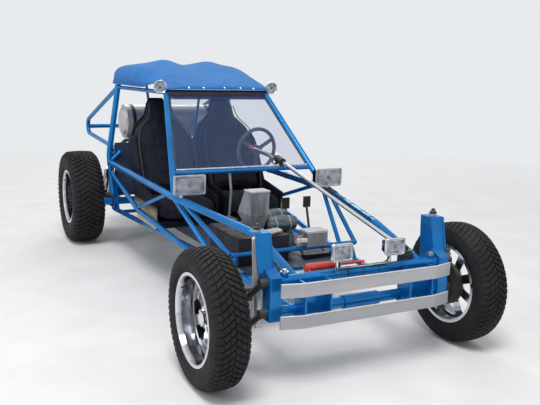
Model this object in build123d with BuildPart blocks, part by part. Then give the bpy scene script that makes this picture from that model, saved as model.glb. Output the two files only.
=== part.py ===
"""Two-seat tube-frame dune buggy with a rear engine, a trailing-arm front beam and a fabric top.

Millimetres. +Z is up, -Y is the front, +X is the driver's side, which is the vehicle's left.
The origin is on the ground, in the middle of the overall length and width.
"""
from build123d import *
from math import hypot
import os

os.makedirs("parts", exist_ok=True)

LEFT = 1
RIGHT = -1
SIDES = (LEFT, RIGHT)

# Driving dimensions
OVERALL_LENGTH = 3700
WHEELBASE = 2780
FRONT_TYRE_RADIUS = 313
FRONT_TYRE_WIDTH = 170
FRONT_HALF_TRACK = 699
REAR_TYRE_RADIUS = 353
REAR_TYRE_WIDTH = 236
REAR_HALF_TRACK = 650
REAR_END_Y = OVERALL_LENGTH / 2
FRONT_AXLE_Y = FRONT_TYRE_RADIUS - OVERALL_LENGTH / 2
REAR_AXLE_Y = FRONT_AXLE_Y + WHEELBASE

# Tube radii
MAIN_TUBE = 21
POST_TUBE = 18
LOWER_TUBE = 17
SMALL_TUBE = 13
THIN_TUBE = 10

# Stations of the frame, from front to rear
BEAM_Y = FRONT_AXLE_Y - 140
NOSE_Y = -1297
FOOTWELL_Y = -1110
DASH_Y = -527
GLASS_TOP_Y = 56
SEAT_BAR_Y = 290
TORSION_Y = 846
HOOP_Y = 905
TANK_Y = 1045

# Heights
BEAM_UPPER_Z = 487
BEAM_LOWER_Z = 349
FLOOR_FRONT_Z = 343
FLOOR_REAR_Z = 303
RAIL_Z = 660
GLASS_TOP_Z = 1212
HOOP_TOP_Z = 1335
TORSION_Z = 375
TANK_Z = 950

# Corners of the frame on the left side, as x, y, z
RAIL_REAR = (500, HOOP_Y, RAIL_Z)
RAIL_DASH = (496, DASH_Y, 650)
RAIL_NOSE = (348, NOSE_Y, 598)
RAIL_BEAM = (344, BEAM_Y, BEAM_UPPER_Z)
GLASS_TOP = (349, GLASS_TOP_Y, GLASS_TOP_Z)
LOWER_REAR = (495, HOOP_Y, 592)
LOWER_SIDE = (497, 207, 438)
LOWER_DASH = (430, -578, 350)
LOWER_NOSE = (344, NOSE_Y, FLOOR_FRONT_Z)
LOWER_BEAM = (344, BEAM_Y, BEAM_LOWER_Z)
HOOP_FOOT = (470, HOOP_Y, FLOOR_REAR_Z)
HOOP_WAIST = (505, HOOP_Y, 720)
HOOP_SHOULDER = (415, HOOP_Y, HOOP_TOP_Z)
CAGE_KNEE = (450, REAR_END_Y - LOWER_TUBE, 902)


def sided(point, side):
    """The same point on the left or the right side."""
    return (side * point[0], point[1], point[2])


def between(start, end, share):
    """A point part of the way from start to end."""
    return tuple(a + (b - a) * share for a, b in zip(start, end))


def straight_tube(start, end, radius, mode=Mode.ADD):
    """A round bar between two points, in the part being built."""
    run = Vector(*end) - Vector(*start)
    with Locations(Plane(origin=start, z_dir=run)):
        Cylinder(radius, run.length, align=(Align.CENTER, Align.CENTER, Align.MIN), mode=mode)


def bent_tube(points, bends, radius):
    """A round bar along straight runs whose corners are arcs."""
    with BuildLine() as route:
        FilletPolyline(*points, radius=bends)
    with BuildSketch(Plane(origin=route.line @ 0, z_dir=route.line % 0)) as section:
        Circle(radius)
    sweep(section.sketch, path=route.line)


def box_between(low, high):
    """A box from its lowest to its highest corner, in the part being built."""
    with Locations(low):
        Box(*(b - a for a, b in zip(low, high)), align=(Align.MIN, Align.MIN, Align.MIN))


def cope(*cutters):
    """Cuts pieces made earlier out of the part being built, so that its ends seat on them."""
    for cutter in cutters:
        add(cutter.part, mode=Mode.SUBTRACT)


def finish(piece, label):
    """Names a finished piece and writes it."""
    piece.part.label = label
    export_step(piece.part, f"parts/{label}.step")


# Bumper: two flat bars with bent-back ends
BUMPER_FRONT_Y = FRONT_AXLE_Y - 243
BUMPER_CORNER_X = 356
BUMPER_END_X = 456
BUMPER_SWEEP = 22
BAR_THICKNESS = 6
BUMPER_BARS = [(438, 500), (298, 357)]  # z of the bottom and the top edge

with BuildPart() as bumper:
    for bar_low, bar_high in BUMPER_BARS:
        with BuildSketch(Plane.XY.offset(bar_low)):
            with BuildLine():
                front = [(-BUMPER_END_X, BUMPER_FRONT_Y + BUMPER_SWEEP), (-BUMPER_CORNER_X, BUMPER_FRONT_Y),
                         (BUMPER_CORNER_X, BUMPER_FRONT_Y), (BUMPER_END_X, BUMPER_FRONT_Y + BUMPER_SWEEP)]
                back = [(x, y + BAR_THICKNESS) for x, y in reversed(front)]
                Polyline(*front, *back, close=True)
            make_face()
        extrude(amount=bar_high - bar_low)
finish(bumper, "bumper")

# Front beam: two cross tubes between the shock towers, with the bumper's brackets and gussets
BRACKET_INNER_X = 215
BRACKET_OUTER_X = 342
BRACKET_THICKNESS = 8
BRACKET_LOW_Z = 305
BRACKET_HIGH_Z = 495
BEAM_TUBE = 25
BEAM_END_X = 486
BEAM_CLAMP_X = 95
BEAM_CLAMP_RADIUS = 32

with BuildPart() as front_beam:
    for beam_z in (BEAM_UPPER_Z, BEAM_LOWER_Z):
        straight_tube((-BEAM_END_X, BEAM_Y, beam_z), (BEAM_END_X, BEAM_Y, beam_z), BEAM_TUBE)
    straight_tube((-BEAM_CLAMP_X, BEAM_Y, BEAM_LOWER_Z), (BEAM_CLAMP_X, BEAM_Y, BEAM_LOWER_Z),
                  BEAM_CLAMP_RADIUS)
    for side in SIDES:
        for bracket_x in (BRACKET_INNER_X, BRACKET_OUTER_X):
            low_x = side * bracket_x - BRACKET_THICKNESS / 2
            box_between((low_x, BUMPER_FRONT_Y + BAR_THICKNESS, BRACKET_LOW_Z),
                        (low_x + BRACKET_THICKNESS, BEAM_Y, BRACKET_HIGH_Z))
        gusset = sorted((side * BRACKET_INNER_X, side * BRACKET_OUTER_X))
        box_between((gusset[0], BEAM_Y - BEAM_TUBE - 4, BRACKET_LOW_Z + 25),
                    (gusset[1], BEAM_Y - BEAM_TUBE + 4, BRACKET_HIGH_Z))
finish(front_beam, "front_beam")

# Shock towers: a closed box around each end of the beam, and above it a channel that is open
# outward and to the rear, where the shock hangs from the top plate
TOWER_INNER_X = 428
TOWER_OUTER_X = 484
TOWER_FOOT = [(BEAM_Y - 34, 318), (BEAM_Y - 34, 512), (BEAM_Y + 36, 545), (BEAM_Y + 36, 318)]  # y, z
CHANNEL_INNER_X = 440
CHANNEL_OUTER_X = 512
CHANNEL_WALL = 7
TOWER_TOP_Z = 690
CHANNEL = [  # y, z of the channel seen from the side
    (BEAM_Y + 24, 525), (BEAM_Y + 62, TOWER_TOP_Z), (BEAM_Y + 140, TOWER_TOP_Z), (BEAM_Y + 128, 450),
    (BEAM_Y + 24, 430),
]
CHANNEL_HOLLOW = [  # y, z of what is open behind the front web and under the top plate
    (BEAM_Y + 10, 400), (BEAM_Y + 10, 520), (BEAM_Y + 24 + CHANNEL_WALL, 520),
    (BEAM_Y + 61 + CHANNEL_WALL, TOWER_TOP_Z - CHANNEL_WALL),
    (BEAM_Y + 150, TOWER_TOP_Z - CHANNEL_WALL), (BEAM_Y + 150, 400),
]

with BuildPart() as shock_towers:
    with BuildSketch(Plane.YZ.offset(CHANNEL_INNER_X)):
        Polygon(*CHANNEL, align=None)
    extrude(amount=CHANNEL_OUTER_X - CHANNEL_INNER_X)
    with BuildSketch(Plane.YZ.offset(CHANNEL_INNER_X + CHANNEL_WALL)):
        Polygon(*CHANNEL_HOLLOW, align=None)
    extrude(amount=CHANNEL_OUTER_X - CHANNEL_INNER_X, mode=Mode.SUBTRACT)
    with BuildSketch(Plane.YZ.offset(TOWER_INNER_X)):
        Polygon(*TOWER_FOOT, align=None)
    extrude(amount=TOWER_OUTER_X - TOWER_INNER_X)
    mirror(about=Plane.YZ)
    cope(front_beam)
finish(shock_towers, "shock_towers")

# Upper rails: from the main hoop along the cockpit's top edge, down onto the beam
with BuildPart() as upper_rails:
    for side in SIDES:
        rail = [sided(p, side) for p in (RAIL_REAR, RAIL_DASH, RAIL_NOSE, RAIL_BEAM)]
        bent_tube(rail, [600, 150], MAIN_TUBE)
    cope(front_beam)
finish(upper_rails, "upper_rails")

# Main hoop: one bent tube over the seats, down to the floor
HOOP_BENDS = [400, 130, 130, 400]

with BuildPart() as main_hoop:
    left_leg = [HOOP_FOOT, HOOP_WAIST, HOOP_SHOULDER]
    right_leg = [sided(p, RIGHT) for p in reversed(left_leg)]
    bent_tube(left_leg + right_leg, HOOP_BENDS, MAIN_TUBE)
    cope(upper_rails)
finish(main_hoop, "main_hoop")

# Lower rails: from the hoop down to the floor's edge and forward to the lower beam tube
with BuildPart() as lower_rails:
    for side in SIDES:
        rail = [sided(p, side) for p in (LOWER_REAR, LOWER_SIDE, LOWER_DASH, LOWER_NOSE, LOWER_BEAM)]
        bent_tube(rail, [300, 400, 600], LOWER_TUBE)
    cope(front_beam, main_hoop)
finish(lower_rails, "lower_rails")

# Floor frame: two floor bars and the cross tubes that they and the lower rails carry
FLOOR_BAR_FRONT = (385, -620, 347)
FLOOR_BAR_REAR = HOOP_FOOT

with BuildPart() as floor_bars:
    for side in SIDES:
        straight_tube(sided(FLOOR_BAR_FRONT, side), sided(FLOOR_BAR_REAR, side), LOWER_TUBE)
    cope(lower_rails, main_hoop)
finish(floor_bars, "floor_bars")

# Side braces: straight tubes between the upper and the lower rails, as start, end, radius
FOOT_BAR_Z = 436
FOOT_BAR = (382, FOOTWELL_Y + 50, FOOT_BAR_Z)
SIDE_BRACES = [
    (between(LOWER_REAR, LOWER_SIDE, 0.97), between(RAIL_REAR, RAIL_DASH, 0.923), SMALL_TUBE),
    (between(RAIL_REAR, RAIL_DASH, 0.983), between(LOWER_DASH, LOWER_NOSE, 0.48), SMALL_TUBE),
    (between(RAIL_DASH, RAIL_NOSE, 0.097), FOOT_BAR, SMALL_TUBE),
]

with BuildPart() as side_braces:
    for start, end, radius in SIDE_BRACES:
        for side in SIDES:
            straight_tube(sided(start, side), sided(end, side), radius)
    cope(upper_rails, lower_rails)
finish(side_braces, "side_braces")

# Cross tubes: half-length x, y, z, radius
CROSS_TUBES = [
    (363, FOOTWELL_Y, 342, SMALL_TUBE),
    (424, -620, 349, SMALL_TUBE),
    (452, SEAT_BAR_Y, 323, LOWER_TUBE),
    (466, TORSION_Y - 90, 308, SMALL_TUBE),
    (505, HOOP_Y, 720, SMALL_TUBE),
    FOOT_BAR + (SMALL_TUBE,),
]
FOOT_POST_HEAD = (FOOT_BAR[0] - 30, FOOT_BAR[1], FOOT_BAR[2])
FOOT_POST_FOOT = between(LOWER_DASH, LOWER_NOSE, 0.70)

with BuildPart() as cross_tubes:
    for half_x, tube_y, tube_z, radius in CROSS_TUBES:
        straight_tube((-half_x, tube_y, tube_z), (half_x, tube_y, tube_z), radius)
    for side in SIDES:
        straight_tube(sided(FOOT_POST_FOOT, side), sided(FOOT_POST_HEAD, side), SMALL_TUBE)
    cope(lower_rails, floor_bars, main_hoop, side_braces)
finish(cross_tubes, "cross_tubes")

# Windshield: two posts, two bars and the pane between them
GLASS_BOTTOM = between(RAIL_DASH, GLASS_TOP, 0.208)
GLASS_BAR = 12
POST_HEAD = between(RAIL_DASH, GLASS_TOP, 1.03)

with BuildPart() as windshield_posts:
    for side in SIDES:
        straight_tube(sided(RAIL_DASH, side), sided(POST_HEAD, side), POST_TUBE)
    cope(upper_rails)
finish(windshield_posts, "windshield_posts")

with BuildPart() as windshield_bars:
    for corner in (GLASS_TOP, GLASS_BOTTOM):
        straight_tube(sided(corner, RIGHT), corner, GLASS_BAR)
    cope(windshield_posts)
finish(windshield_bars, "windshield_bars")

# Steering column: where its two shafts meet, and their other ends
SHAFT_TOP = (252, -337, 823)
SHAFT_END = (270, -1597, 560)
COLUMN_TOP = (222, -100, 848)
COLUMN_HOLE = 34
BEARING_RADIUS = 24

with BuildPart() as column_bearing:
    straight_tube(between(SHAFT_TOP, SHAFT_END, 0.003), between(SHAFT_TOP, SHAFT_END, 0.060), BEARING_RADIUS)
    straight_tube(between(SHAFT_TOP, SHAFT_END, 0.038), (SHAFT_TOP[0], GLASS_BOTTOM[1], GLASS_BOTTOM[2]), 12)
    cope(windshield_bars)
finish(column_bearing, "column_bearing")

GLASS_THICKNESS = 6
GLASS_PLANE = Plane(
    origin=(0, GLASS_BOTTOM[1], GLASS_BOTTOM[2]),
    x_dir=(1, 0, 0),
    z_dir=(0, GLASS_BOTTOM[2] - GLASS_TOP[2], GLASS_TOP[1] - GLASS_BOTTOM[1]),
)
GLASS_HEIGHT = hypot(GLASS_TOP[1] - GLASS_BOTTOM[1], GLASS_TOP[2] - GLASS_BOTTOM[2])

with BuildPart() as windshield_glass:
    with BuildSketch(GLASS_PLANE):
        with BuildLine():
            Polyline((-GLASS_BOTTOM[0], 0), (GLASS_BOTTOM[0], 0),
                     (GLASS_TOP[0], GLASS_HEIGHT), (-GLASS_TOP[0], GLASS_HEIGHT), close=True)
        make_face()
    extrude(amount=GLASS_THICKNESS / 2, both=True)
    straight_tube(between(SHAFT_TOP, SHAFT_END, -0.05), between(SHAFT_TOP, SHAFT_END, 0.08), COLUMN_HOLE,
                  mode=Mode.SUBTRACT)
    cope(windshield_posts, windshield_bars, column_bearing)
finish(windshield_glass, "windshield_glass")

# Roof bars: from the hoop to the windshield's top corners
with BuildPart() as roof_bars:
    for side in SIDES:
        roof_rear = sided(between(HOOP_WAIST, HOOP_SHOULDER, 0.80), side)
        straight_tube(roof_rear, sided(GLASS_TOP, side), SMALL_TUBE)
    cope(main_hoop, windshield_posts, windshield_bars)
finish(roof_bars, "roof_bars")

# Rear cage: bent tubes from the hoop over the engine and back to the hoop
CAGE_HEAD = between(HOOP_WAIST, HOOP_SHOULDER, 0.80)
CAGE_SHIN = (450, CAGE_KNEE[1], 790)
CAGE_ANKLE = (425, HOOP_Y - 30, 742)

with BuildPart() as rear_cage:
    for side in SIDES:
        loop = [sided(p, side) for p in (CAGE_HEAD, CAGE_KNEE, CAGE_SHIN, CAGE_ANKLE, RAIL_REAR)]
        bent_tube(loop, [62, 58, 24], LOWER_TUBE)
    straight_tube((-450, CAGE_KNEE[1], 845), (450, CAGE_KNEE[1], 845), LOWER_TUBE)
    cope(main_hoop, upper_rails, cross_tubes)
finish(rear_cage, "rear_cage")

# Rear braces: the crossed stays behind the seats, and the tank's cross tube
TANK_BAR_Z = 750

with BuildPart() as rear_braces:
    for side in SIDES:
        straight_tube((side * 150, HOOP_Y, 720), (side * 230, HOOP_Y, HOOP_TOP_Z), THIN_TUBE)
    straight_tube((-430, TANK_Y, TANK_BAR_Z), (430, TANK_Y, TANK_BAR_Z), SMALL_TUBE)
    cope(main_hoop, cross_tubes, rear_cage)
finish(rear_braces, "rear_braces")

# Torsion housing: the rear cross tube that the rear arms turn on, with its side plates
TORSION_RADIUS = 27
TORSION_END_X = 562
PLATE_INNER_X = 462
PLATE_OUTER_X = 470

with BuildPart() as torsion_housing:
    straight_tube((-TORSION_END_X, TORSION_Y, TORSION_Z), (TORSION_END_X, TORSION_Y, TORSION_Z),
                  TORSION_RADIUS)
    for side in SIDES:
        with BuildSketch(Plane.YZ.offset(side * PLATE_OUTER_X)):
            with BuildLine():
                Polyline((TORSION_Y - 60, 305), (TORSION_Y + 45, 300), (HOOP_Y + 22, 560),
                         (HOOP_Y - 30, 575), close=True)
            make_face()
        extrude(amount=-side * (PLATE_OUTER_X - PLATE_INNER_X))
    cope(main_hoop, lower_rails, floor_bars)
finish(torsion_housing, "torsion_housing")

# Floor pan: a sheet on the floor frame, in two flats
PAN_THICKNESS = 3
PAN_HALF_WIDTH = 330

with BuildPart() as floor_pan:
    pan_front = (FOOTWELL_Y - 40, 342 + SMALL_TUBE + 4)
    pan_knee = (-620, 349 + SMALL_TUBE + 1)
    pan_rear = (TORSION_Y - 60, 308 + SMALL_TUBE + 16)
    with BuildSketch(Plane.YZ.offset(-PAN_HALF_WIDTH)):
        with BuildLine():
            Polyline(pan_front, pan_knee, pan_rear,
                     (pan_rear[0], pan_rear[1] + PAN_THICKNESS),
                     (pan_knee[0], pan_knee[1] + PAN_THICKNESS),
                     (pan_front[0], pan_front[1] + PAN_THICKNESS), close=True)
        make_face()
    extrude(amount=2 * PAN_HALF_WIDTH)
    cope(cross_tubes)
finish(floor_pan, "floor_pan")

# Seats: bucket shells with the padded covers in them
SEAT_X = 240
SEAT_HALF_WIDTH = 215
SEAT_DEPTH = 700
SHELL_WALL = 16
SEAT_SIDE = [  # y, z of the shell seen from the side
    (-45, 353), (-55, 545), (235, 590), (330, 760), (430, 900), (560, 1150), (625, 1150), (400, 420),
    (340, 346),
]
SEAT_HOLLOW = [  # y, z of the space that the cover fills
    (-80, 402), (320, 384), (372, 424), (612, 1170), (300, 1170), (-80, 700),
]
SEAT_FRONT = [  # half-width and z of the shell seen from the front
    (SEAT_HALF_WIDTH, 340), (SEAT_HALF_WIDTH, 860), (175, 965), (95, 1035), (72, 1110), (48, 1150),
]
COVER_GAP = 1
COVER_SIDE = [  # y, z of the cover seen from the side
    (-75, 404), (318, 386), (369, 424), (603, 1148), (575, 1154), (505, 1140), (395, 890), (262, 540),
    (200, 515), (-40, 540), (-75, 500),
]


def seat_outline(inset):
    """The front view of the left seat, for cutting an extruded side view to its width."""
    outer = [(SEAT_X + x - inset, z) for x, z in SEAT_FRONT]
    inner = [(SEAT_X - x + inset, z) for x, z in reversed(SEAT_FRONT)]
    return outer + inner


with BuildPart() as seat_shells:
    with BuildSketch(Plane.YZ.offset(SEAT_X)):
        Polygon(*SEAT_SIDE, align=None)
    extrude(amount=SEAT_HALF_WIDTH, both=True)
    with BuildSketch(Plane.XZ.offset(SEAT_DEPTH / 2)):
        Polygon(*seat_outline(0), align=None)
    extrude(amount=-2 * SEAT_DEPTH, mode=Mode.INTERSECT)
    with BuildSketch(Plane.YZ.offset(SEAT_X)):
        Polygon(*SEAT_HOLLOW, align=None)
    extrude(amount=SEAT_HALF_WIDTH - SHELL_WALL, both=True, mode=Mode.SUBTRACT)
    mirror(about=Plane.YZ)
    cope(floor_pan)
finish(seat_shells, "seat_shells")

with BuildPart() as seat_covers:
    with BuildSketch(Plane.YZ.offset(SEAT_X)):
        Polygon(*COVER_SIDE, align=None)
    extrude(amount=SEAT_HALF_WIDTH - SHELL_WALL - COVER_GAP, both=True)
    with BuildSketch(Plane.XZ.offset(SEAT_DEPTH / 2)):
        Polygon(*seat_outline(SHELL_WALL + COVER_GAP), align=None)
    extrude(amount=-2 * SEAT_DEPTH, mode=Mode.INTERSECT)
    mirror(about=Plane.YZ)
finish(seat_covers, "seat_covers")

# Fuel tank: a spun cylinder with domed ends across the car behind the seats, its filler and two straps
TANK_RADIUS = 125
TANK_HALF_LENGTH = 380
TANK_DOME = 26
DOME_FLAT = 45
TANK_SEAM = 3
STRAP_X = 300
STRAP_WIDTH = 24
STRAP_THICKNESS = 3
FILLER_X = -120
FILLER_RADIUS = 34
FILLER_FOOT_Z = TANK_Z + TANK_RADIUS + 6
FILLER_LENGTH = 30

with BuildPart() as fuel_tank:
    with BuildSketch(Plane(origin=(0, TANK_Y, TANK_Z), x_dir=(1, 0, 0), z_dir=(0, -1, 0))):
        end_x = TANK_HALF_LENGTH
        dome_x = TANK_HALF_LENGTH - TANK_DOME
        with BuildLine():
            Polyline((-end_x, DOME_FLAT), (-end_x, 0), (end_x, 0), (end_x, DOME_FLAT))
            ThreePointArc((end_x, DOME_FLAT), (end_x - 7, 90), (dome_x, TANK_RADIUS - 8))
            Polyline((dome_x, TANK_RADIUS - 8), (dome_x, TANK_RADIUS + TANK_SEAM),
                     (dome_x - 10, TANK_RADIUS + TANK_SEAM), (dome_x - 14, TANK_RADIUS),
                     (14 - dome_x, TANK_RADIUS), (10 - dome_x, TANK_RADIUS + TANK_SEAM),
                     (-dome_x, TANK_RADIUS + TANK_SEAM), (-dome_x, TANK_RADIUS - 8))
            ThreePointArc((-dome_x, TANK_RADIUS - 8), (7 - end_x, 90), (-end_x, DOME_FLAT))
        make_face()
    revolve(axis=Axis((0, TANK_Y, TANK_Z), (1, 0, 0)))
    filler_top_z = FILLER_FOOT_Z + FILLER_LENGTH
    for low_z, high_z, radius in ((TANK_Z + TANK_RADIUS - 20, FILLER_FOOT_Z, FILLER_RADIUS + 14),
                                  (FILLER_FOOT_Z, filler_top_z, FILLER_RADIUS)):
        straight_tube((FILLER_X, TANK_Y, low_z), (FILLER_X, TANK_Y, high_z), radius)
finish(fuel_tank, "fuel_tank")

with BuildPart() as tank_straps:
    for side in SIDES:
        with BuildSketch(Plane.YZ.offset(side * STRAP_X)):
            with Locations((TANK_Y, TANK_Z)):
                Circle(TANK_RADIUS + STRAP_THICKNESS)
            with Locations((TANK_Y, (TANK_Z - 90 + TANK_BAR_Z) / 2)):
                Rectangle(70, TANK_Z - 90 - TANK_BAR_Z)
            with Locations((TANK_Y, TANK_Z)):
                Circle(TANK_RADIUS, mode=Mode.SUBTRACT)
        extrude(amount=STRAP_WIDTH / 2, both=True)
    cope(rear_braces)
finish(tank_straps, "tank_straps")

# Firewall: the panel on the front of the hoop, behind the seats
with BuildPart() as firewall:
    box_between((-468, HOOP_Y - 16, 410), (468, HOOP_Y - 12, 805))
    cope(main_hoop, rear_cage, cross_tubes, torsion_housing, upper_rails, lower_rails)
finish(firewall, "firewall")

# Engine: case, cylinders and fan shroud behind the rear axle, and the transaxle with its shafts
ENGINE_FRONT_Y = REAR_AXLE_Y + 95
ENGINE_REAR_Y = ENGINE_FRONT_Y + 360
AXLE_SHAFT_RADIUS = 16
AXLE_JOINT_RADIUS = 50

with BuildPart() as transaxle:
    straight_tube((0, TORSION_Y + 50, 370), (0, REAR_AXLE_Y - 70, 370), 70)
    straight_tube((0, REAR_AXLE_Y - 70, 370), (0, REAR_AXLE_Y + 60, 370), 120)
    straight_tube((0, REAR_AXLE_Y + 60, 390), (0, ENGINE_FRONT_Y, 390), 165)
    straight_tube((-150, REAR_AXLE_Y, REAR_TYRE_RADIUS), (150, REAR_AXLE_Y, REAR_TYRE_RADIUS), 62)
    box_between((-40, TORSION_Y, 340), (40, TORSION_Y + 60, 400))
    for side in SIDES:
        shaft = [(side * x, REAR_AXLE_Y, REAR_TYRE_RADIUS) for x in (150, 195, 400, 440)]
        straight_tube(shaft[0], shaft[3], AXLE_SHAFT_RADIUS)
        straight_tube(shaft[0], shaft[1], AXLE_JOINT_RADIUS)
        straight_tube(shaft[2], shaft[3], AXLE_JOINT_RADIUS)
    cope(torsion_housing)
finish(transaxle, "transaxle")

CASE_HALF_WIDTH = 125
CASE_LOW_Z = 285
CASE_HIGH_Z = 560
CYLINDER_Z = 430
CYLINDER_OFFSETS = (95, 250)  # from the engine's front to each cylinder's axis
CYLINDER_RADIUS = 50
FIN_HALF = 66
FIN_THICKNESS = 4
FIN_PITCH = 24
FIN_COUNT = 6
HEAD_X = 290
HEAD_HALF_HEIGHT = 72
COVER_X = 365
PULLEY_Z = 405
GENERATOR_Y = ENGINE_FRONT_Y + 212
GENERATOR_Z = 672
GENERATOR_RADIUS = 46

with BuildPart() as engine:
    # Split case with its sump, and the generator's stand
    with BuildSketch(Plane.XZ.offset(-ENGINE_FRONT_Y)):
        case_left = [(85, CASE_LOW_Z), (CASE_HALF_WIDTH, 340), (CASE_HALF_WIDTH, 520), (70, CASE_HIGH_Z)]
        Polygon(*case_left, *[(-x, z) for x, z in reversed(case_left)], align=None)
    extrude(amount=ENGINE_FRONT_Y - ENGINE_REAR_Y + 30)
    box_between((-34, GENERATOR_Y, CASE_HIGH_Z - 4), (34, GENERATOR_Y + 86, GENERATOR_Z - GENERATOR_RADIUS + 8))
    straight_tube((0, GENERATOR_Y, GENERATOR_Z), (0, ENGINE_REAR_Y - 12, GENERATOR_Z), GENERATOR_RADIUS)
    # Pulleys: the crankshaft's and the generator's, each with a groove for the belt
    for pulley_z, radius in ((PULLEY_Z, 84), (GENERATOR_Z, 52)):
        straight_tube((0, ENGINE_REAR_Y - 34, pulley_z), (0, ENGINE_REAR_Y + 6, pulley_z), radius - 16)
        for cheek_y in (ENGINE_REAR_Y - 14, ENGINE_REAR_Y):
            straight_tube((0, cheek_y, pulley_z), (0, cheek_y + 5, pulley_z), radius)
    # Finned cylinders, heads and rocker covers on each side
    for side in SIDES:
        for offset_y in CYLINDER_OFFSETS:
            cylinder_y = ENGINE_FRONT_Y + offset_y
            straight_tube((side * (CASE_HALF_WIDTH - 15), cylinder_y, CYLINDER_Z),
                          (side * HEAD_X, cylinder_y, CYLINDER_Z), CYLINDER_RADIUS)
            for fin in range(FIN_COUNT):
                fin_x = side * (CASE_HALF_WIDTH + 14 + fin * FIN_PITCH)
                box_between((fin_x - FIN_THICKNESS / 2, cylinder_y - FIN_HALF, CYLINDER_Z - FIN_HALF),
                            (fin_x + FIN_THICKNESS / 2, cylinder_y + FIN_HALF, CYLINDER_Z + FIN_HALF))
        head_x = sorted((side * HEAD_X, side * COVER_X))
        box_between((head_x[0], ENGINE_FRONT_Y + 22, CYLINDER_Z - HEAD_HALF_HEIGHT),
                    (head_x[1], ENGINE_FRONT_Y + 323, CYLINDER_Z + HEAD_HALF_HEIGHT - 10))
        with BuildSketch(Plane.YZ.offset(side * COVER_X)):
            with Locations((ENGINE_FRONT_Y + 172, CYLINDER_Z - 22)):
                RectangleRounded(286, 84, 20)
        extrude(amount=side * 24, taper=12)
finish(engine, "engine")

SHROUD_FRONT_Y = ENGINE_FRONT_Y + 60
SHROUD_DEPTH = 150
FAN_Z = 690
CARBURETTOR_Y = SHROUD_FRONT_Y + SHROUD_DEPTH + 92
CLEANER_Z = 806

with BuildPart() as fan_shroud:
    # Sheet housing: two wide outlets over the cylinders, drawn in to the fan's round top
    with BuildSketch(Plane.XZ.offset(-SHROUD_FRONT_Y)):
        with BuildLine():
            Polyline((-345, 560), (345, 560), (345, 610), (205, 665), (150, 690))
            ThreePointArc((150, 690), (0, 838), (-150, 690))
            Polyline((-150, 690), (-205, 665), (-345, 610), (-345, 560))
        make_face()
    extrude(amount=-SHROUD_DEPTH)
    # Fan inlet and its ring on the front, in a shallow recess
    straight_tube((0, SHROUD_FRONT_Y - 6, FAN_Z), (0, SHROUD_FRONT_Y, FAN_Z), 96)
    straight_tube((0, SHROUD_FRONT_Y - 7, FAN_Z), (0, SHROUD_FRONT_Y + 24, FAN_Z), 78, Mode.SUBTRACT)
    # Carburettor with its air cleaner, on two intake pipes
    with Locations((0, CARBURETTOR_Y, CLEANER_Z)):
        Cylinder(78, 52)
        Cylinder(84, 10)
    straight_tube((0, CARBURETTOR_Y, 736), (0, CARBURETTOR_Y, CLEANER_Z - 16), 27)
    for side in SIDES:
        bent_tube([(0, CARBURETTOR_Y, 746), (side * 180, CARBURETTOR_Y, 740),
                   (side * 305, CARBURETTOR_Y - 62, 640), (side * 330, CARBURETTOR_Y - 124, 500)], [60, 60], 15)
    cope(engine)
finish(fan_shroud, "fan_shroud")

# Exhaust: four headers into a cross silencer under the tail
SILENCER_Y = ENGINE_REAR_Y + 62
SILENCER_Z = 300
SILENCER_HALF_LENGTH = 280
SILENCER_RADIUS = 55
TAILPIPE_X = 190
HEADER_RADIUS = 20
HEADERS = [  # x at the head and at the silencer, offset of the port from the engine's front
    (345, 235, 250),
    (320, 120, 60),
]

with BuildPart() as exhaust:
    straight_tube((-SILENCER_HALF_LENGTH, SILENCER_Y, SILENCER_Z), (SILENCER_HALF_LENGTH, SILENCER_Y, SILENCER_Z),
                  SILENCER_RADIUS)
    for side in SIDES:
        for head_x, silencer_x, offset_y in HEADERS:
            port = (side * head_x, ENGINE_FRONT_Y + offset_y, CYLINDER_Z - HEAD_HALF_HEIGHT)
            elbow = (side * head_x, ENGINE_FRONT_Y + offset_y, SILENCER_Z)
            bent_tube([port, elbow, (side * silencer_x, SILENCER_Y, SILENCER_Z)], [40], HEADER_RADIUS)
        straight_tube((side * TAILPIPE_X, SILENCER_Y, SILENCER_Z - 20),
                      (side * TAILPIPE_X, REAR_END_Y - 12, SILENCER_Z - 28), 18)
    cope(engine)
finish(exhaust, "exhaust")

# Rear suspension: trailing plates with hub carriers, and dampers
ARM_INNER_X = 502
ARM_THICKNESS = 8
HUB_FACE_X = 516

with BuildPart() as rear_arms:
    for side in SIDES:
        with BuildSketch(Plane.YZ.offset(side * ARM_INNER_X)):
            with BuildLine():
                Polyline((TORSION_Y - 30, TORSION_Z - 38), (REAR_AXLE_Y + 55, REAR_TYRE_RADIUS - 48),
                         (REAR_AXLE_Y + 55, REAR_TYRE_RADIUS + 48), (TORSION_Y - 30, TORSION_Z + 38),
                         close=True)
            make_face()
        extrude(amount=side * ARM_THICKNESS)
        straight_tube((side * 440, REAR_AXLE_Y, REAR_TYRE_RADIUS),
                      (side * HUB_FACE_X, REAR_AXLE_Y, REAR_TYRE_RADIUS), 52)
    cope(torsion_housing)
finish(rear_arms, "rear_arms")

with BuildPart() as rear_shocks:
    for side in SIDES:
        shock_foot = (side * 470, REAR_AXLE_Y - 110, 400)
        shock_head = (side * 445, HOOP_Y + 130, 745)
        straight_tube(shock_foot, shock_head, 14)
        straight_tube(shock_foot, between(shock_foot, shock_head, 0.55), 26)
        straight_tube(shock_foot, (side * ARM_INNER_X, REAR_AXLE_Y - 110, 380), 12)
    cope(rear_cage, rear_arms)
finish(rear_shocks, "rear_shocks")

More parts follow.
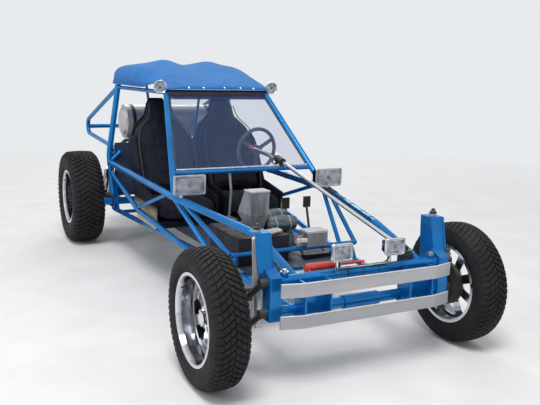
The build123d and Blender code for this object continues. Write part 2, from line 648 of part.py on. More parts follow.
# Front suspension: four trailing arms with their king-pin carriers, and two tall shocks
ARM_LINE_X = 505
ARM_RADIUS = 15
ARM_BOSS_RADIUS = 21
CARRIER_RADIUS = 18
CARRIER_UPPER_Z = BEAM_UPPER_Z - 105
CARRIER_LOWER_Z = BEAM_LOWER_Z - 105
KING_PIN_X = 604
SHOCK_TOP = (486, BEAM_Y + 104, 660)
SHOCK_FOOT = (456, FRONT_AXLE_Y - 4, 250)
SHOCK_RADIUS = 21
SHOCK_EYE_RADIUS = 17
STEM_RADIUS = 6
BUSHING_RADIUS = 15

with BuildPart() as front_arms:
    for side in SIDES:
        for beam_z, carrier_z in ((BEAM_UPPER_Z, CARRIER_UPPER_Z), (BEAM_LOWER_Z, CARRIER_LOWER_Z)):
            straight_tube((side * BEAM_END_X, BEAM_Y, beam_z),
                          (side * (ARM_LINE_X + ARM_RADIUS), BEAM_Y, beam_z), ARM_BOSS_RADIUS)
            straight_tube((side * ARM_LINE_X, BEAM_Y, beam_z), (side * ARM_LINE_X, FRONT_AXLE_Y, carrier_z),
                          ARM_RADIUS)
            straight_tube((side * (ARM_LINE_X - ARM_RADIUS), FRONT_AXLE_Y, carrier_z),
                          (side * (KING_PIN_X - 14), FRONT_AXLE_Y, carrier_z), CARRIER_RADIUS)
            straight_tube((side * KING_PIN_X, FRONT_AXLE_Y, carrier_z - 16),
                          (side * KING_PIN_X, FRONT_AXLE_Y, carrier_z + 16), 20)
finish(front_arms, "front_arms")

# Each shock: eye on the lower arm, body, dust tube, and a stem through the tower's top plate with
# a rubber bushing and a nut
with BuildPart() as front_shocks:
    for side in SIDES:
        foot = sided(SHOCK_FOOT, side)
        top = sided(SHOCK_TOP, side)
        straight_tube(between(foot, top, 0.03), between(foot, top, 0.52), SHOCK_RADIUS - 4)
        straight_tube(between(foot, top, 0.44), top, SHOCK_RADIUS)
        straight_tube((side * (SHOCK_FOOT[0] - 14), *SHOCK_FOOT[1:]),
                      (side * (SHOCK_FOOT[0] + 14), *SHOCK_FOOT[1:]), SHOCK_EYE_RADIUS)
        straight_tube(foot, (side * (ARM_LINE_X - ARM_RADIUS), *SHOCK_FOOT[1:]), 9)
        stem_top = (top[0], top[1], TOWER_TOP_Z + 30)
        straight_tube(top, stem_top, STEM_RADIUS)
        straight_tube((top[0], top[1], TOWER_TOP_Z), (top[0], top[1], TOWER_TOP_Z + 10), BUSHING_RADIUS)
        straight_tube((top[0], top[1], TOWER_TOP_Z + 10), (top[0], top[1], TOWER_TOP_Z + 18), 10)
    cope(shock_towers, front_arms)
finish(front_shocks, "front_shocks")

# Rectangular lamps: centre x, front y, centre z, width, height, depth, then x, y and z of the stem's foot
LAMPS = [
    (448, -650, 738, 185, 112, 70, 482, -602, 640),
    (143, FRONT_AXLE_Y - 199, 601, 106, 78, 55, 143, BEAM_Y - 14, BEAM_UPPER_Z),
]
BEZEL = 9
BEZEL_DEPTH = 12
LENS_RECESS = 5
STEM_TUBE = 9

with BuildPart() as headlamps:
    for lamp_x, lamp_y, lamp_z, width, height, depth, stem_x, stem_y, stem_z in LAMPS:
        for side in SIDES:
            # Bezel, tapered bowl behind it, and the lens set back in the bezel
            with BuildSketch(Plane.XZ.offset(-lamp_y)):
                with Locations((side * lamp_x, lamp_z)):
                    RectangleRounded(width, height, BEZEL)
            extrude(amount=-BEZEL_DEPTH)
            with BuildSketch(Plane.XZ.offset(-lamp_y - BEZEL_DEPTH)):
                with Locations((side * lamp_x, lamp_z)):
                    Rectangle(width - BEZEL, height - BEZEL)
            extrude(amount=BEZEL_DEPTH - depth, taper=14)
            with BuildSketch(Plane.XZ.offset(-lamp_y)):
                with Locations((side * lamp_x, lamp_z)):
                    Rectangle(width - 2 * BEZEL, height - 2 * BEZEL)
            extrude(amount=-LENS_RECESS, mode=Mode.SUBTRACT)
            straight_tube((side * stem_x, stem_y, stem_z), (side * stem_x, stem_y, lamp_z), STEM_TUBE)
    cope(front_beam, upper_rails)
finish(headlamps, "headlamps")

# Round lamps under the top's front corners: a turned bowl with a rim, on a short stem
ROOF_LAMP = (392, 66, 1247)
ROOF_LAMP_RADIUS = 42
ROOF_LAMP_FRONT = 30
ROOF_LAMP_STEM_FOOT = (352, 76, 1212)

with BuildPart() as roof_lamps:
    for side in SIDES:
        lamp_x, lamp_y, lamp_z = sided(ROOF_LAMP, side)
        front_y = lamp_y - ROOF_LAMP_FRONT
        with BuildSketch(Plane(origin=(lamp_x, front_y, lamp_z), x_dir=(0, 1, 0), z_dir=(1, 0, 0))):
            rim_edge = ROOF_LAMP_RADIUS
            with BuildLine():
                Polyline((5, 0), (5, rim_edge - 5), (0, rim_edge - 5), (0, rim_edge), (10, rim_edge),
                         (10, rim_edge - 3))
                ThreePointArc((10, rim_edge - 3), (42, rim_edge - 14), (58, 8))
                Polyline((58, 8), (58, 0), (5, 0))
            make_face()
        revolve(axis=Axis((lamp_x, lamp_y, lamp_z), (0, 1, 0)))
        straight_tube((lamp_x, lamp_y, lamp_z), sided(ROOF_LAMP_STEM_FOOT, side), STEM_RADIUS)
    cope(windshield_posts, roof_bars)
finish(roof_lamps, "roof_lamps")

# Canopy: a fabric shell over the hoop and the windshield's top bar, open below
CANOPY_SIDE = [  # y, z of the outside
    (34, 1205), (20, 1252), (300, 1350), (560, 1402), (850, 1425), (950, 1375), (958, 1240),
]
CANOPY_INSIDE = [  # y, z of the hollow
    (46, 1190), (30, 1243), (300, 1341), (560, 1393), (845, 1416), (941, 1368), (949, 1190),
]
CANOPY_FRONT = [  # half-width and z
    (468, 1190), (456, 1335), (412, 1385), (300, 1428), (0, 1432),
]
CANOPY_FRONT_INSIDE = [
    (460, 1180), (448, 1331), (406, 1377), (297, 1419), (0, 1423),
]

with BuildPart() as canopy_hollow:
    with BuildSketch(Plane.YZ):
        Polygon(*CANOPY_INSIDE, align=None)
    extrude(amount=500, both=True)
    with BuildSketch(Plane.XZ.offset(50)):
        Polygon(*CANOPY_FRONT_INSIDE, *[(-x, z) for x, z in reversed(CANOPY_FRONT_INSIDE[:-1])], align=None)
    extrude(amount=-1300, mode=Mode.INTERSECT)

with BuildPart() as canopy:
    with BuildSketch(Plane.YZ):
        Polygon(*CANOPY_SIDE, align=None)
    extrude(amount=500, both=True)
    with BuildSketch(Plane.XZ):
        Polygon(*CANOPY_FRONT, *[(-x, z) for x, z in reversed(CANOPY_FRONT[:-1])], align=None)
    extrude(amount=-1200, mode=Mode.INTERSECT)
    cope(canopy_hollow, roof_lamps, windshield_posts, windshield_bars, roof_bars)
finish(canopy, "canopy")

# Steering: box, pitman arm, tie rods, damper and the wheel with its two shafts
PITMAN_X = 272
PITMAN_Y = BEAM_Y + 40
TIE_INNER_Z = 440
TIE_OUTER_Z = 380
TIE_ARM = 100
TIE_RADIUS = 8
SHAFT_GAP = 3

with BuildPart() as steering_box:
    # Cast housing clamped behind the beam's upper tube, with its cover and the shaft's input boss
    worm_axis = (Vector(*SHAFT_END) - Vector(*SHAFT_TOP)).normalized()
    for low_z, high_z, radius in ((468, 540, 38), (540, 552, 31), (552, 566, 9)):
        straight_tube((PITMAN_X + 4, PITMAN_Y - 4, low_z), (PITMAN_X + 4, PITMAN_Y - 4, high_z), radius)
    straight_tube((PITMAN_X, PITMAN_Y, TIE_INNER_Z + 14), (PITMAN_X, PITMAN_Y, 500), 22)
    boss_from = Vector(*SHAFT_END) + worm_axis * SHAFT_GAP
    boss_to = Vector(*SHAFT_END) + worm_axis * 46
    straight_tube(tuple(boss_from), tuple(boss_to), 21)
    cope(front_beam)
finish(steering_box, "steering_box")

with BuildPart() as steering_damper:
    straight_tube((-275, BEAM_Y + 40, 519), (-100, BEAM_Y + 40, 519), 18)
    straight_tube((-100, BEAM_Y + 40, 519), (40, BEAM_Y + 40, 519), 6)
    for eye_x in (-262, 28):
        straight_tube((eye_x, BEAM_Y, BEAM_UPPER_Z), (eye_x, BEAM_Y + 40, 519), 8)
    cope(front_beam)
finish(steering_damper, "steering_damper")

STEERING_WHEEL_RADIUS = 140
GRIP_RADIUS = 12
wheel_axis = (Vector(*COLUMN_TOP) - Vector(*SHAFT_TOP)).normalized()
WHEEL_PLANE = Plane(origin=COLUMN_TOP, x_dir=(1, 0, 0), z_dir=wheel_axis)

with BuildPart() as steering_wheel:
    column_start = Vector(*SHAFT_TOP) + wheel_axis * 2
    straight_tube(tuple(column_start), COLUMN_TOP, 14)
    with Locations(WHEEL_PLANE):
        Torus(STEERING_WHEEL_RADIUS, GRIP_RADIUS)
        Cylinder(34, 30)
        with PolarLocations(0, 3, start_angle=90):
            Box(STEERING_WHEEL_RADIUS, 26, 5, align=(Align.MIN, Align.CENTER, Align.CENTER))
finish(steering_wheel, "steering_wheel")

with BuildPart() as steering_shaft:
    shaft_axis = (Vector(*SHAFT_END) - Vector(*SHAFT_TOP)).normalized()
    shaft_from = Vector(*SHAFT_TOP) + shaft_axis * 80
    shaft_to = Vector(*SHAFT_END) + shaft_axis * 2
    straight_tube(tuple(shaft_from), tuple(shaft_to), 11)
finish(steering_shaft, "steering_shaft")

with BuildPart() as pitman_arm:
    arm_low_z = TIE_INNER_Z + 1
    arm_high_z = TIE_INNER_Z + 13
    eye_y = PITMAN_Y + TIE_ARM
    straight_tube((PITMAN_X, PITMAN_Y, TIE_INNER_Z - 6), (PITMAN_X, PITMAN_Y, arm_high_z), 20)
    box_between((PITMAN_X - 12, PITMAN_Y, arm_low_z), (PITMAN_X + 12, eye_y, arm_high_z))
    straight_tube((PITMAN_X, eye_y, arm_low_z), (PITMAN_X, eye_y, arm_high_z), 14)
finish(pitman_arm, "pitman_arm")

BRAKE_INNER_X = 626
BRAKE_OUTER_X = 652
BRAKE_RADIUS = 110
SPINDLE_END_X = 661

for side, side_name in ((LEFT, "left"), (RIGHT, "right")):
    king_pin = (side * KING_PIN_X, FRONT_AXLE_Y)
    # Knuckle: king-pin housing, spindle, backing plate and steering arm
    with BuildPart() as knuckle:
        straight_tube((*king_pin, CARRIER_LOWER_Z + 23), (*king_pin, CARRIER_UPPER_Z - 23), 18)
        for reach, radius in ((SPINDLE_END_X, 14), (BRAKE_OUTER_X, 34)):
            straight_tube((*king_pin, FRONT_TYRE_RADIUS), (side * reach, FRONT_AXLE_Y, FRONT_TYRE_RADIUS),
                          radius)
        straight_tube((side * BRAKE_INNER_X, FRONT_AXLE_Y, FRONT_TYRE_RADIUS),
                      (side * BRAKE_OUTER_X, FRONT_AXLE_Y, FRONT_TYRE_RADIUS), BRAKE_RADIUS)
        box_between((side * KING_PIN_X - 11, FRONT_AXLE_Y, 336),
                    (side * KING_PIN_X + 11, FRONT_AXLE_Y + TIE_ARM, 348))
        straight_tube((side * KING_PIN_X, FRONT_AXLE_Y + TIE_ARM, 336),
                      (side * KING_PIN_X, FRONT_AXLE_Y + TIE_ARM, TIE_OUTER_Z - 10), 11)
    finish(knuckle, f"knuckle_{side_name}")

    # Tie rod: from the pitman arm's eye to the knuckle's arm
    with BuildPart() as tie_rod:
        inner_z = TIE_INNER_Z - 14 if side == LEFT else TIE_INNER_Z - 34
        inner = (PITMAN_X, PITMAN_Y + TIE_ARM, inner_z)
        outer = (side * KING_PIN_X, FRONT_AXLE_Y + TIE_ARM, TIE_OUTER_Z)
        straight_tube(inner, outer, TIE_RADIUS)
        for eye in (inner, outer):
            with Locations(eye):
                Cylinder(13, 18)
    finish(tie_rod, f"tie_rod_{side_name}")

# Pedals, gear lever and the equipment between the front rails
with BuildPart() as pedals:
    for pedal_x in (103, 243):
        bent_tube([(pedal_x, -1010, 368), (pedal_x, -800, 420), (pedal_x, -742, 600)], [60], 7)
        box_between((pedal_x - 22, -752, 588), (pedal_x + 22, -740, 652))
    box_between((80, -1030, 356), (266, -990, 384))
    cope(floor_pan)
finish(pedals, "pedals")

with BuildPart() as gear_lever:
    box_between((-35, -230, 345), (35, -110, 420))
    bent_tube([(0, -170, 415), (0, -200, 600), (0, -170, 720)], [120], 8)
    with Locations((0, -170, 730)):
        Sphere(22)
    cope(floor_pan)
finish(gear_lever, "gear_lever")

with BuildPart() as battery_box:
    box_between((-325, -1040, 363), (-30, -650, 512))
    cope(floor_pan)
finish(battery_box, "battery_box")

# Fluid box on the battery box, with a sloping back and a lid, and the fuse box on the foot bar
FLUID_BOX_SIDE = [(-950, 732), (-950, 606), (-925, 512), (-852, 512), (-769, 588), (-869, 732)]  # y, z
FLUID_BOX_FRONT = [(-219, 732), (-108, 732), (-112, 606), (-135, 512), (-190, 512), (-215, 606)]  # x, z

with BuildPart() as control_boxes:
    with BuildSketch(Plane.YZ.offset(-220)):
        Polygon(*FLUID_BOX_SIDE, align=None)
    extrude(amount=120)
    with BuildSketch(Plane.XZ.offset(700)):
        Polygon(*FLUID_BOX_FRONT, align=None)
    extrude(amount=300, mode=Mode.INTERSECT)
    box_between((-222, -953, 732), (-105, -866, 740))
    box_between((50, FOOT_BAR[1] - 40, FOOT_BAR_Z + SMALL_TUBE), (175, FOOT_BAR[1] + 50, 532))
finish(control_boxes, "control_boxes")

# Wheels: tyre sections and spoked rims, turned about the axle
BEAD_RADIUS = 203
FLANGE_RADIUS = 207
BARREL_RADIUS = 192
BARREL_WALL = 8
SPOKE_COUNT = 8
WINDOW = [(66, -5), (90, -12), (164, -42), (174, -20), (174, 20), (164, 42), (90, 12), (66, 5)]
DISC_THICKNESS = 7

# Axle: name, y, half track, tyre radius, tyre width, rim width, disc offset from the middle
AXLES = [
    ("front", FRONT_AXLE_Y, FRONT_HALF_TRACK, FRONT_TYRE_RADIUS, FRONT_TYRE_WIDTH, 148, -12),
    ("rear", REAR_AXLE_Y, REAR_HALF_TRACK, REAR_TYRE_RADIUS, REAR_TYRE_WIDTH, 206, -30),
]

for axle, axle_y, half_track, tyre_radius, tyre_width, rim_width, disc_x in AXLES:
    for side, side_name in ((LEFT, "left"), (RIGHT, "right")):
        centre = (side * half_track, axle_y, tyre_radius)
        axis = Axis(centre, (1, 0, 0))
        section_plane = Plane(origin=centre, x_dir=(side, 0, 0), z_dir=(0, 0, side))

        with BuildPart() as tyre:
            with BuildSketch(section_plane):
                with BuildLine():
                    bead = rim_width / 2 - 6
                    shoulder = tyre_width / 2 - 10
                    tread = tyre_width / 2 - 26
                    bulge_z = (BEAD_RADIUS + tyre_radius) / 2 - 4
                    Line((-bead, BEAD_RADIUS), (bead, BEAD_RADIUS))
                    Line((bead, BEAD_RADIUS), (bead, FLANGE_RADIUS + 3))
                    ThreePointArc((bead, FLANGE_RADIUS + 3), (tyre_width / 2, bulge_z),
                                  (shoulder, tyre_radius - 22))
                    Line((shoulder, tyre_radius - 22), (tread, tyre_radius - 5))
                    ThreePointArc((tread, tyre_radius - 5), (0, tyre_radius), (-tread, tyre_radius - 5))
                    Line((-tread, tyre_radius - 5), (-shoulder, tyre_radius - 22))
                    ThreePointArc((-shoulder, tyre_radius - 22), (-tyre_width / 2, bulge_z),
                                  (-bead, FLANGE_RADIUS + 3))
                    Line((-bead, FLANGE_RADIUS + 3), (-bead, BEAD_RADIUS))
                make_face()
            revolve(axis=axis)
        finish(tyre, f"tyre_{axle}_{side_name}")

        with BuildPart() as rim:
            with BuildSketch(section_plane):
                with BuildLine():
                    edge = rim_width / 2
                    Polyline((-edge, FLANGE_RADIUS), (-edge + 5, FLANGE_RADIUS), (-edge + 5, BEAD_RADIUS),
                             (edge - 5, BEAD_RADIUS), (edge - 5, FLANGE_RADIUS), (edge, FLANGE_RADIUS),
                             (edge, BARREL_RADIUS), (edge - 22, BARREL_RADIUS - BARREL_WALL),
                             (-edge + 22, BARREL_RADIUS - BARREL_WALL), (-edge, BARREL_RADIUS), close=True)
                make_face()
                # Dished disc from the hub's cap out to the barrel
                with BuildLine():
                    outer_face = [(disc_x + 40, 0), (disc_x + 40, 30), (disc_x + 14, 34), (disc_x + 14, 62),
                                  (disc_x - 4, 96), (disc_x - 4, 150), (disc_x + 12, BARREL_RADIUS - 4)]
                    inner_face = [(disc_x + 12 - DISC_THICKNESS, BARREL_RADIUS - 4),
                                  (disc_x - 4 - DISC_THICKNESS, 150), (disc_x - 4 - DISC_THICKNESS, 96),
                                  (disc_x + 12 - DISC_THICKNESS, 62), (disc_x - 25, 40), (disc_x - 25, 0)]
                    Polyline(*outer_face, *inner_face, close=True)
                make_face()
            revolve(axis=axis)
            disc_centre = (centre[0] + side * disc_x, axle_y, tyre_radius)
            with BuildSketch(Plane(origin=disc_centre, z_dir=(side, 0, 0))):
                with PolarLocations(0, SPOKE_COUNT):
                    Polygon(*WINDOW, align=None)
            extrude(amount=24, both=True, mode=Mode.SUBTRACT)
        finish(rim, f"rim_{axle}_{side_name}")
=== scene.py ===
"""Looks of the dune buggy: materials, tyre treads, fabric top, padded seats, lamps, wiring and small trim.

Metres, in the frame of the CAD: +Z up, -Y to the front, +X to the vehicle's left. Only the outlines
of turned pieces and the sizes of bolts are in millimetres.
"""
from math import atan2, copysign, cos, exp, pi, radians, sin

import bmesh
import bpy
from mathutils import Euler, Matrix, Vector


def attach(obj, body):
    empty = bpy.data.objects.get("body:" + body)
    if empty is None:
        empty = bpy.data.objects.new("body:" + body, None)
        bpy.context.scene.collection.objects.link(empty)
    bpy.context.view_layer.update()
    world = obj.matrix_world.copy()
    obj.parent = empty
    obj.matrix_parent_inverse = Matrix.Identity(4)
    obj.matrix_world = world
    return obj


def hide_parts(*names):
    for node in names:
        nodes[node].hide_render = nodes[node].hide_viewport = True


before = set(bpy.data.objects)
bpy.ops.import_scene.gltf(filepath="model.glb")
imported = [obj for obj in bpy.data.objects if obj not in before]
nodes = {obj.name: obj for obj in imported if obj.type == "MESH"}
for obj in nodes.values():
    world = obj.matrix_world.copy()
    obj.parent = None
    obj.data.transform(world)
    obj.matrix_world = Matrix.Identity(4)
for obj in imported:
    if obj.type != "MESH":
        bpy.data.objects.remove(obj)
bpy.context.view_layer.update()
SIDES = ((1, "left"), (-1, "right"))

# Axle, its y, tyre radius, half track, tyre width, rim width, tread pitches and tread depth
FRONT = ("front", -1.537, 0.313, 0.699, 0.17, 0.148, 62, 0.008)
REAR = ("rear", 1.243, 0.353, 0.65, 0.236, 0.206, 56, 0.01)
RIM_RADIUS = 0.207


# small helpers
def set_all(thing, **settings):
    """Sets several values of a thing."""
    for setting, value in settings.items():
        setattr(thing, setting, value)


def new_object(name, data):
    """A new object in the scene."""
    made = bpy.data.objects.new(name, data)
    bpy.context.scene.collection.objects.link(made)
    return made


# materials
def shader(name, **sockets):
    """A node material with a Principled shader whose plain sockets are set."""
    made = bpy.data.materials.new(name)
    made.use_nodes = True
    tree = made.node_tree
    bsdf = tree.nodes["Principled BSDF"]
    for socket, value in sockets.items():
        bsdf.inputs[socket.replace("_", " ")].default_value = value
    return made, tree, bsdf


def node(tree, kind, inputs=None, out=0, **settings):
    """A shader node. Each of its inputs is a socket to link or a plain value. Gives one of its outputs."""
    made = tree.nodes.new("ShaderNode" + kind)
    set_all(made, **settings)
    for name, value in (inputs or {}).items():
        if isinstance(value, bpy.types.NodeSocket):
            tree.links.new(value, made.inputs[name])
        else:
            made.inputs[name].default_value = value
    return made.outputs[out]


def coordinates(tree):
    """Object coordinates, which are the car's own."""
    return node(tree, "TexCoord", out="Object")


def along(tree, vector, axis):
    """One coordinate of a vector."""
    return node(tree, "SeparateXYZ", {0: vector}, out=axis)


def calculate(tree, operation, first, second=0.0):
    """Two values put through a math node."""
    return node(tree, "Math", {0: first, 1: second}, operation=operation)


def noise(tree, scale, detail=4.0, stretch=None):
    """The factor of a noise texture in object coordinates, stretched if asked."""
    where = coordinates(tree)
    if stretch:
        where = node(tree, "Mapping", {"Vector": where, "Scale": stretch})
    inputs = {"Vector": where, "Scale": scale, "Detail": detail, "Roughness": 0.55}
    return node(tree, "TexNoise", inputs, out="Fac")


def ramp(tree, factor, low, high, dark, light):
    """A colour ramp from dark at low to light at high."""
    made = tree.nodes.new("ShaderNodeValToRGB")
    for stop, place, colour in zip(made.color_ramp.elements, (low, high), (dark, light)):
        stop.position = place
        stop.color = (*colour, 1)
    tree.links.new(factor, made.inputs["Fac"])
    return made.outputs["Color"]


def spread(tree, factor, low, high, to_low=0.0, to_high=1.0):
    """A value mapped from one range to another."""
    return node(tree, "MapRange", {"Value": factor, "From Min": low, "From Max": high, "To Min": to_low,
                                   "To Max": to_high}, out="Result")


def blend_colour(tree, factor, first, second):
    """Two colours mixed by a factor. The second is a socket or a plain colour."""
    second = (*second, 1) if isinstance(second, tuple) else second
    return node(tree, "Mix", {0: factor, 6: first, 7: second}, out=2, data_type="RGBA")


def dusted(tree, colour, share, dust_colour):
    """A colour with dust on what looks up, broken by noise."""
    up = spread(tree, along(tree, node(tree, "NewGeometry", out="Normal"), "Z"), 0.3, 0.95)
    settled = calculate(tree, "MULTIPLY", up, spread(tree, noise(tree, 14.0), 0.35, 0.65, 0.15, 1.0))
    return blend_colour(tree, spread(tree, settled, 0.0, 1.0, 0.0, share), colour, dust_colour)


def surface(tree, bsdf, colour, scale, rough):
    """Gives a shader its colour, and a gloss that noise makes uneven."""
    tree.links.new(colour, bsdf.inputs["Base Color"])
    tree.links.new(spread(tree, noise(tree, scale), 0.3, 0.7, *rough), bsdf.inputs["Roughness"])


def bump(tree, bsdf, height, strength, distance):
    """A bump from a height on the shader's normal."""
    raised = node(tree, "Bump", {"Height": height, "Strength": strength, "Distance": distance}, out="Normal")
    tree.links.new(raised, bsdf.inputs["Normal"])


def show_mix(tree, output, share, first, second):
    """Puts a mix of two shaders on an output node."""
    mixed = node(tree, "MixShader", {0: share, 1: first, 2: second})
    tree.links.new(mixed, tree.nodes[output].inputs["Surface"])


def see_through(tree, bsdf, share, tint=(1, 1, 1, 1)):
    """Lets light straight through, but for the share that the shader takes."""
    through = node(tree, "BsdfTransparent", {"Color": tint})
    show_mix(tree, "Material Output", share, through, bsdf.outputs[0])


def finish(name, dark, light, scale, rough, bump_scale=0, bump_depth=0.0, dust=0.0,
           dust_colour=(0.42, 0.38, 0.32), stretch=None, **sockets):
    """A material with uneven colour and gloss, a fine bump and dust on what looks up."""
    made, tree, bsdf = shader(name, **sockets)
    colour = ramp(tree, noise(tree, scale, stretch=stretch), 0.32, 0.68, dark, light)
    if dust:
        colour = dusted(tree, colour, dust, dust_colour)
    surface(tree, bsdf, colour, scale * 2.3, rough)
    if bump_scale:
        bump(tree, bsdf, noise(tree, bump_scale, detail=3, stretch=stretch), 0.6, bump_depth)
    return made


BLUE_PAINT = finish("blue_paint", (0.004, 0.11, 0.36), (0.008, 0.165, 0.48), 5, (0.17, 0.25), dust=0.02,
                    Metallic=0.4, Specular_IOR_Level=1.0, Specular_Tint=(0.3, 0.82, 1.0, 1))
DARK_PAINT = finish("dark_paint", (0.01, 0.022, 0.055), (0.022, 0.045, 0.1), 8, (0.45, 0.65), 300, 0.0004,
                    dust=0.16, dust_colour=(0.22, 0.2, 0.18), Metallic=0.1)
CHROME = finish("chrome", (0.66, 0.68, 0.7), (0.8, 0.81, 0.82), 12, (0.06, 0.16), 260, 0.0001, dust=0.05,
                Metallic=1.0)
ALUMINIUM = finish("aluminium", (0.5, 0.5, 0.49), (0.66, 0.655, 0.64), 9, (0.34, 0.46), stretch=(0.15, 1, 1),
                   dust=0.12, Metallic=0.55)
BARE_BAR = finish("bare_bar", (0.33, 0.335, 0.36), (0.45, 0.45, 0.475), 10, (0.34, 0.52), 160, 0.0003,
                  stretch=(0.1, 1, 1), dust=0.12, Metallic=0.5)
CAST_METAL = finish("cast_metal", (0.2, 0.2, 0.2), (0.4, 0.395, 0.385), 16, (0.42, 0.62), 220, 0.001,
                    dust=0.22, dust_colour=(0.2, 0.18, 0.15), Metallic=0.6)
BLACK_METAL = finish("black_metal", (0.01, 0.01, 0.012), (0.028, 0.028, 0.03), 12, (0.35, 0.6), 260, 0.0005,
                     dust=0.22, Metallic=0.2)
DARK_CAST = finish("dark_cast", (0.006, 0.016, 0.02), (0.018, 0.036, 0.042), 14, (0.3, 0.5), 240, 0.0006,
                   dust=0.2, Metallic=0.3)
GREY_METAL = finish("grey_metal", (0.105, 0.115, 0.135), (0.3, 0.305, 0.32), 24, (0.4, 0.62), 240, 0.0006,
                    dust=0.45, dust_colour=(0.6, 0.58, 0.58), stretch=(1, 1, 0.16), Metallic=0.25)
BLACK_PLASTIC = finish("black_plastic", (0.01, 0.01, 0.016), (0.022, 0.022, 0.034), 10, (0.45, 0.7), 500,
                       0.0004, dust=0.45, dust_colour=(0.26, 0.21, 0.19), Specular_IOR_Level=0.2)
RED_PAINT = finish("red_paint", (0.4, 0.015, 0.02), (0.58, 0.04, 0.04), 12, (0.3, 0.45), 300, 0.0003,
                   dust=0.12)
RUBBER = finish("rubber", (0.006, 0.006, 0.007), (0.018, 0.018, 0.02), 6, (0.7, 0.88), 350, 0.0006, dust=0.08,
                dust_colour=(0.2, 0.19, 0.18), Specular_IOR_Level=0.25)
GRIP = finish("grip", (0.045, 0.047, 0.055), (0.1, 0.1, 0.115), 14, (0.5, 0.7), 700, 0.0005)
CABLE_BLACK = finish("cable_black", (0.008, 0.008, 0.01), (0.02, 0.02, 0.022), 20, (0.4, 0.6), 600, 0.0002,
                     dust=0.15)
CABLE_WHITE = finish("cable_white", (0.52, 0.5, 0.44), (0.68, 0.66, 0.6), 20, (0.4, 0.6), 600, 0.0002)
TAPE = finish("tape", (0.006, 0.006, 0.008), (0.02, 0.02, 0.024), 30, (0.5, 0.75), 380, 0.0006,
              stretch=(1, 6, 1), dust=0.1)
STEEL = finish("steel", (0.34, 0.34, 0.35), (0.52, 0.52, 0.52), 30, (0.25, 0.45), 400, 0.0003, dust=0.1,
               Metallic=0.95)
WRAP = finish("wrap", (0.026, 0.05, 0.062), (0.075, 0.11, 0.122), 11, (0.6, 0.85), 90, 0.004, dust=0.3,
              dust_colour=(0.4, 0.42, 0.42), stretch=(1, 3, 1))
TRIM = finish("trim", (0.42, 0.48, 0.6), (0.62, 0.67, 0.78), 18, (0.2, 0.4), 200, 0.0002, Metallic=0.6)
PIPING = finish("piping", (0.02, 0.025, 0.038), (0.044, 0.052, 0.074), 30, (0.5, 0.7), 600, 0.0003)
# Bright look of the thin tubes along the bumper bars' top edges: a painted highlight
EDGE_HIGHLIGHT = finish("edge", (0.7, 0.71, 0.73), (0.86, 0.87, 0.89), 30, (0.25, 0.4), Metallic=0.4)
HEM = finish("hem", (0.3, 0.42, 0.62), (0.46, 0.56, 0.72), 30, (0.6, 0.8), 600, 0.0003)
REFLECTOR = finish("reflector", (0.055, 0.075, 0.11), (0.5, 0.54, 0.62), 30, (0.1, 0.28), Metallic=0.75)
BULB_CAP = finish("bulb_cap", (0.03, 0.03, 0.035), (0.1, 0.1, 0.11), 60, (0.2, 0.4), Metallic=0.6)
CORD_PALE = finish("cord_pale", (0.3, 0.29, 0.26), (0.5, 0.48, 0.44), 60, (0.6, 0.8), 900, 0.0005)
VISOR = finish("visor", (0.016, 0.016, 0.05), (0.034, 0.034, 0.085), 12, (0.35, 0.55), 300, 0.0003)

TALL_LID = (0.7308, 0.7316)  # from below to above the tall box's lid
LOW_LID = (0.522, 0.5228)
LOW_LID_REAR = (-0.999, -1.001)  # y that the low box is ahead of


def pale_lids(made):
    """Boxes of a grey material get pale lids, at the heights of their tops."""
    tree = made.node_tree
    base = tree.nodes["Principled BSDF"].inputs["Base Color"]
    colour = base.links[0].from_socket
    where = coordinates(tree)
    height = along(tree, where, "Z")
    low_lid = calculate(tree, "MULTIPLY", spread(tree, height, *LOW_LID),
                        spread(tree, along(tree, where, "Y"), *LOW_LID_REAR))
    share = calculate(tree, "MAXIMUM", spread(tree, height, *TALL_LID), low_lid)
    lid = ramp(tree, noise(tree, 22, detail=6), 0.3, 0.7, (0.34, 0.33, 0.34), (0.56, 0.55, 0.57))
    tree.links.new(blend_colour(tree, share, colour, lid), base)


pale_lids(GREY_METAL)

RIM_PAINTED_REFLECTIONS = (  # share of the rim's radius and brightness there: painted reflections and painted shade of the turned chrome
    (0.00, 0.8), (0.26, 0.7), (0.34, 0.4), (0.44, 0.76), (0.6, 0.66), (0.68, 0.3), (0.73, 0.8), (0.8, 0.34),
    (0.85, 0.78), (0.89, 0.26), (0.925, 0.8), (0.955, 0.5), (0.975, 0.86), (1.00, 0.66),
)


def plated_rim(axle, axle_y, axle_z):
    """Chrome with bands of painted reflection and painted shade round the axle."""
    made, tree, bsdf = shader(f"rim_{axle}", Metallic=1.0)
    shifted = node(tree, "VectorMath", {0: coordinates(tree), 1: (0, axle_y, axle_z)}, operation="SUBTRACT")
    flat = node(tree, "VectorMath", {0: shifted, 1: (0, 1, 1)}, operation="MULTIPLY")
    away = node(tree, "VectorMath", {0: flat}, out="Value", operation="LENGTH")
    # Rings of painted reflection and painted shade, by distance from the axle
    painted_reflection_bands = tree.nodes.new("ShaderNodeValToRGB")
    elements = painted_reflection_bands.color_ramp.elements
    for i, (place, level) in enumerate(RIM_PAINTED_REFLECTIONS):
        element = elements[i] if i < 2 else elements.new(place)
        element.position = place
        element.color = (level * 0.97, level * 0.985, level + 0.04 * (1 - level), 1)
    tree.links.new(spread(tree, away, 0.0, RIM_RADIUS), painted_reflection_bands.inputs["Fac"])
    grime = spread(tree, noise(tree, 14, detail=6), 0.35, 0.75, 0.0, 0.16)
    colour = blend_colour(tree, grime, painted_reflection_bands.outputs["Color"], (0.2, 0.19, 0.17))
    surface(tree, bsdf, colour, 30, (0.07, 0.2))
    return made


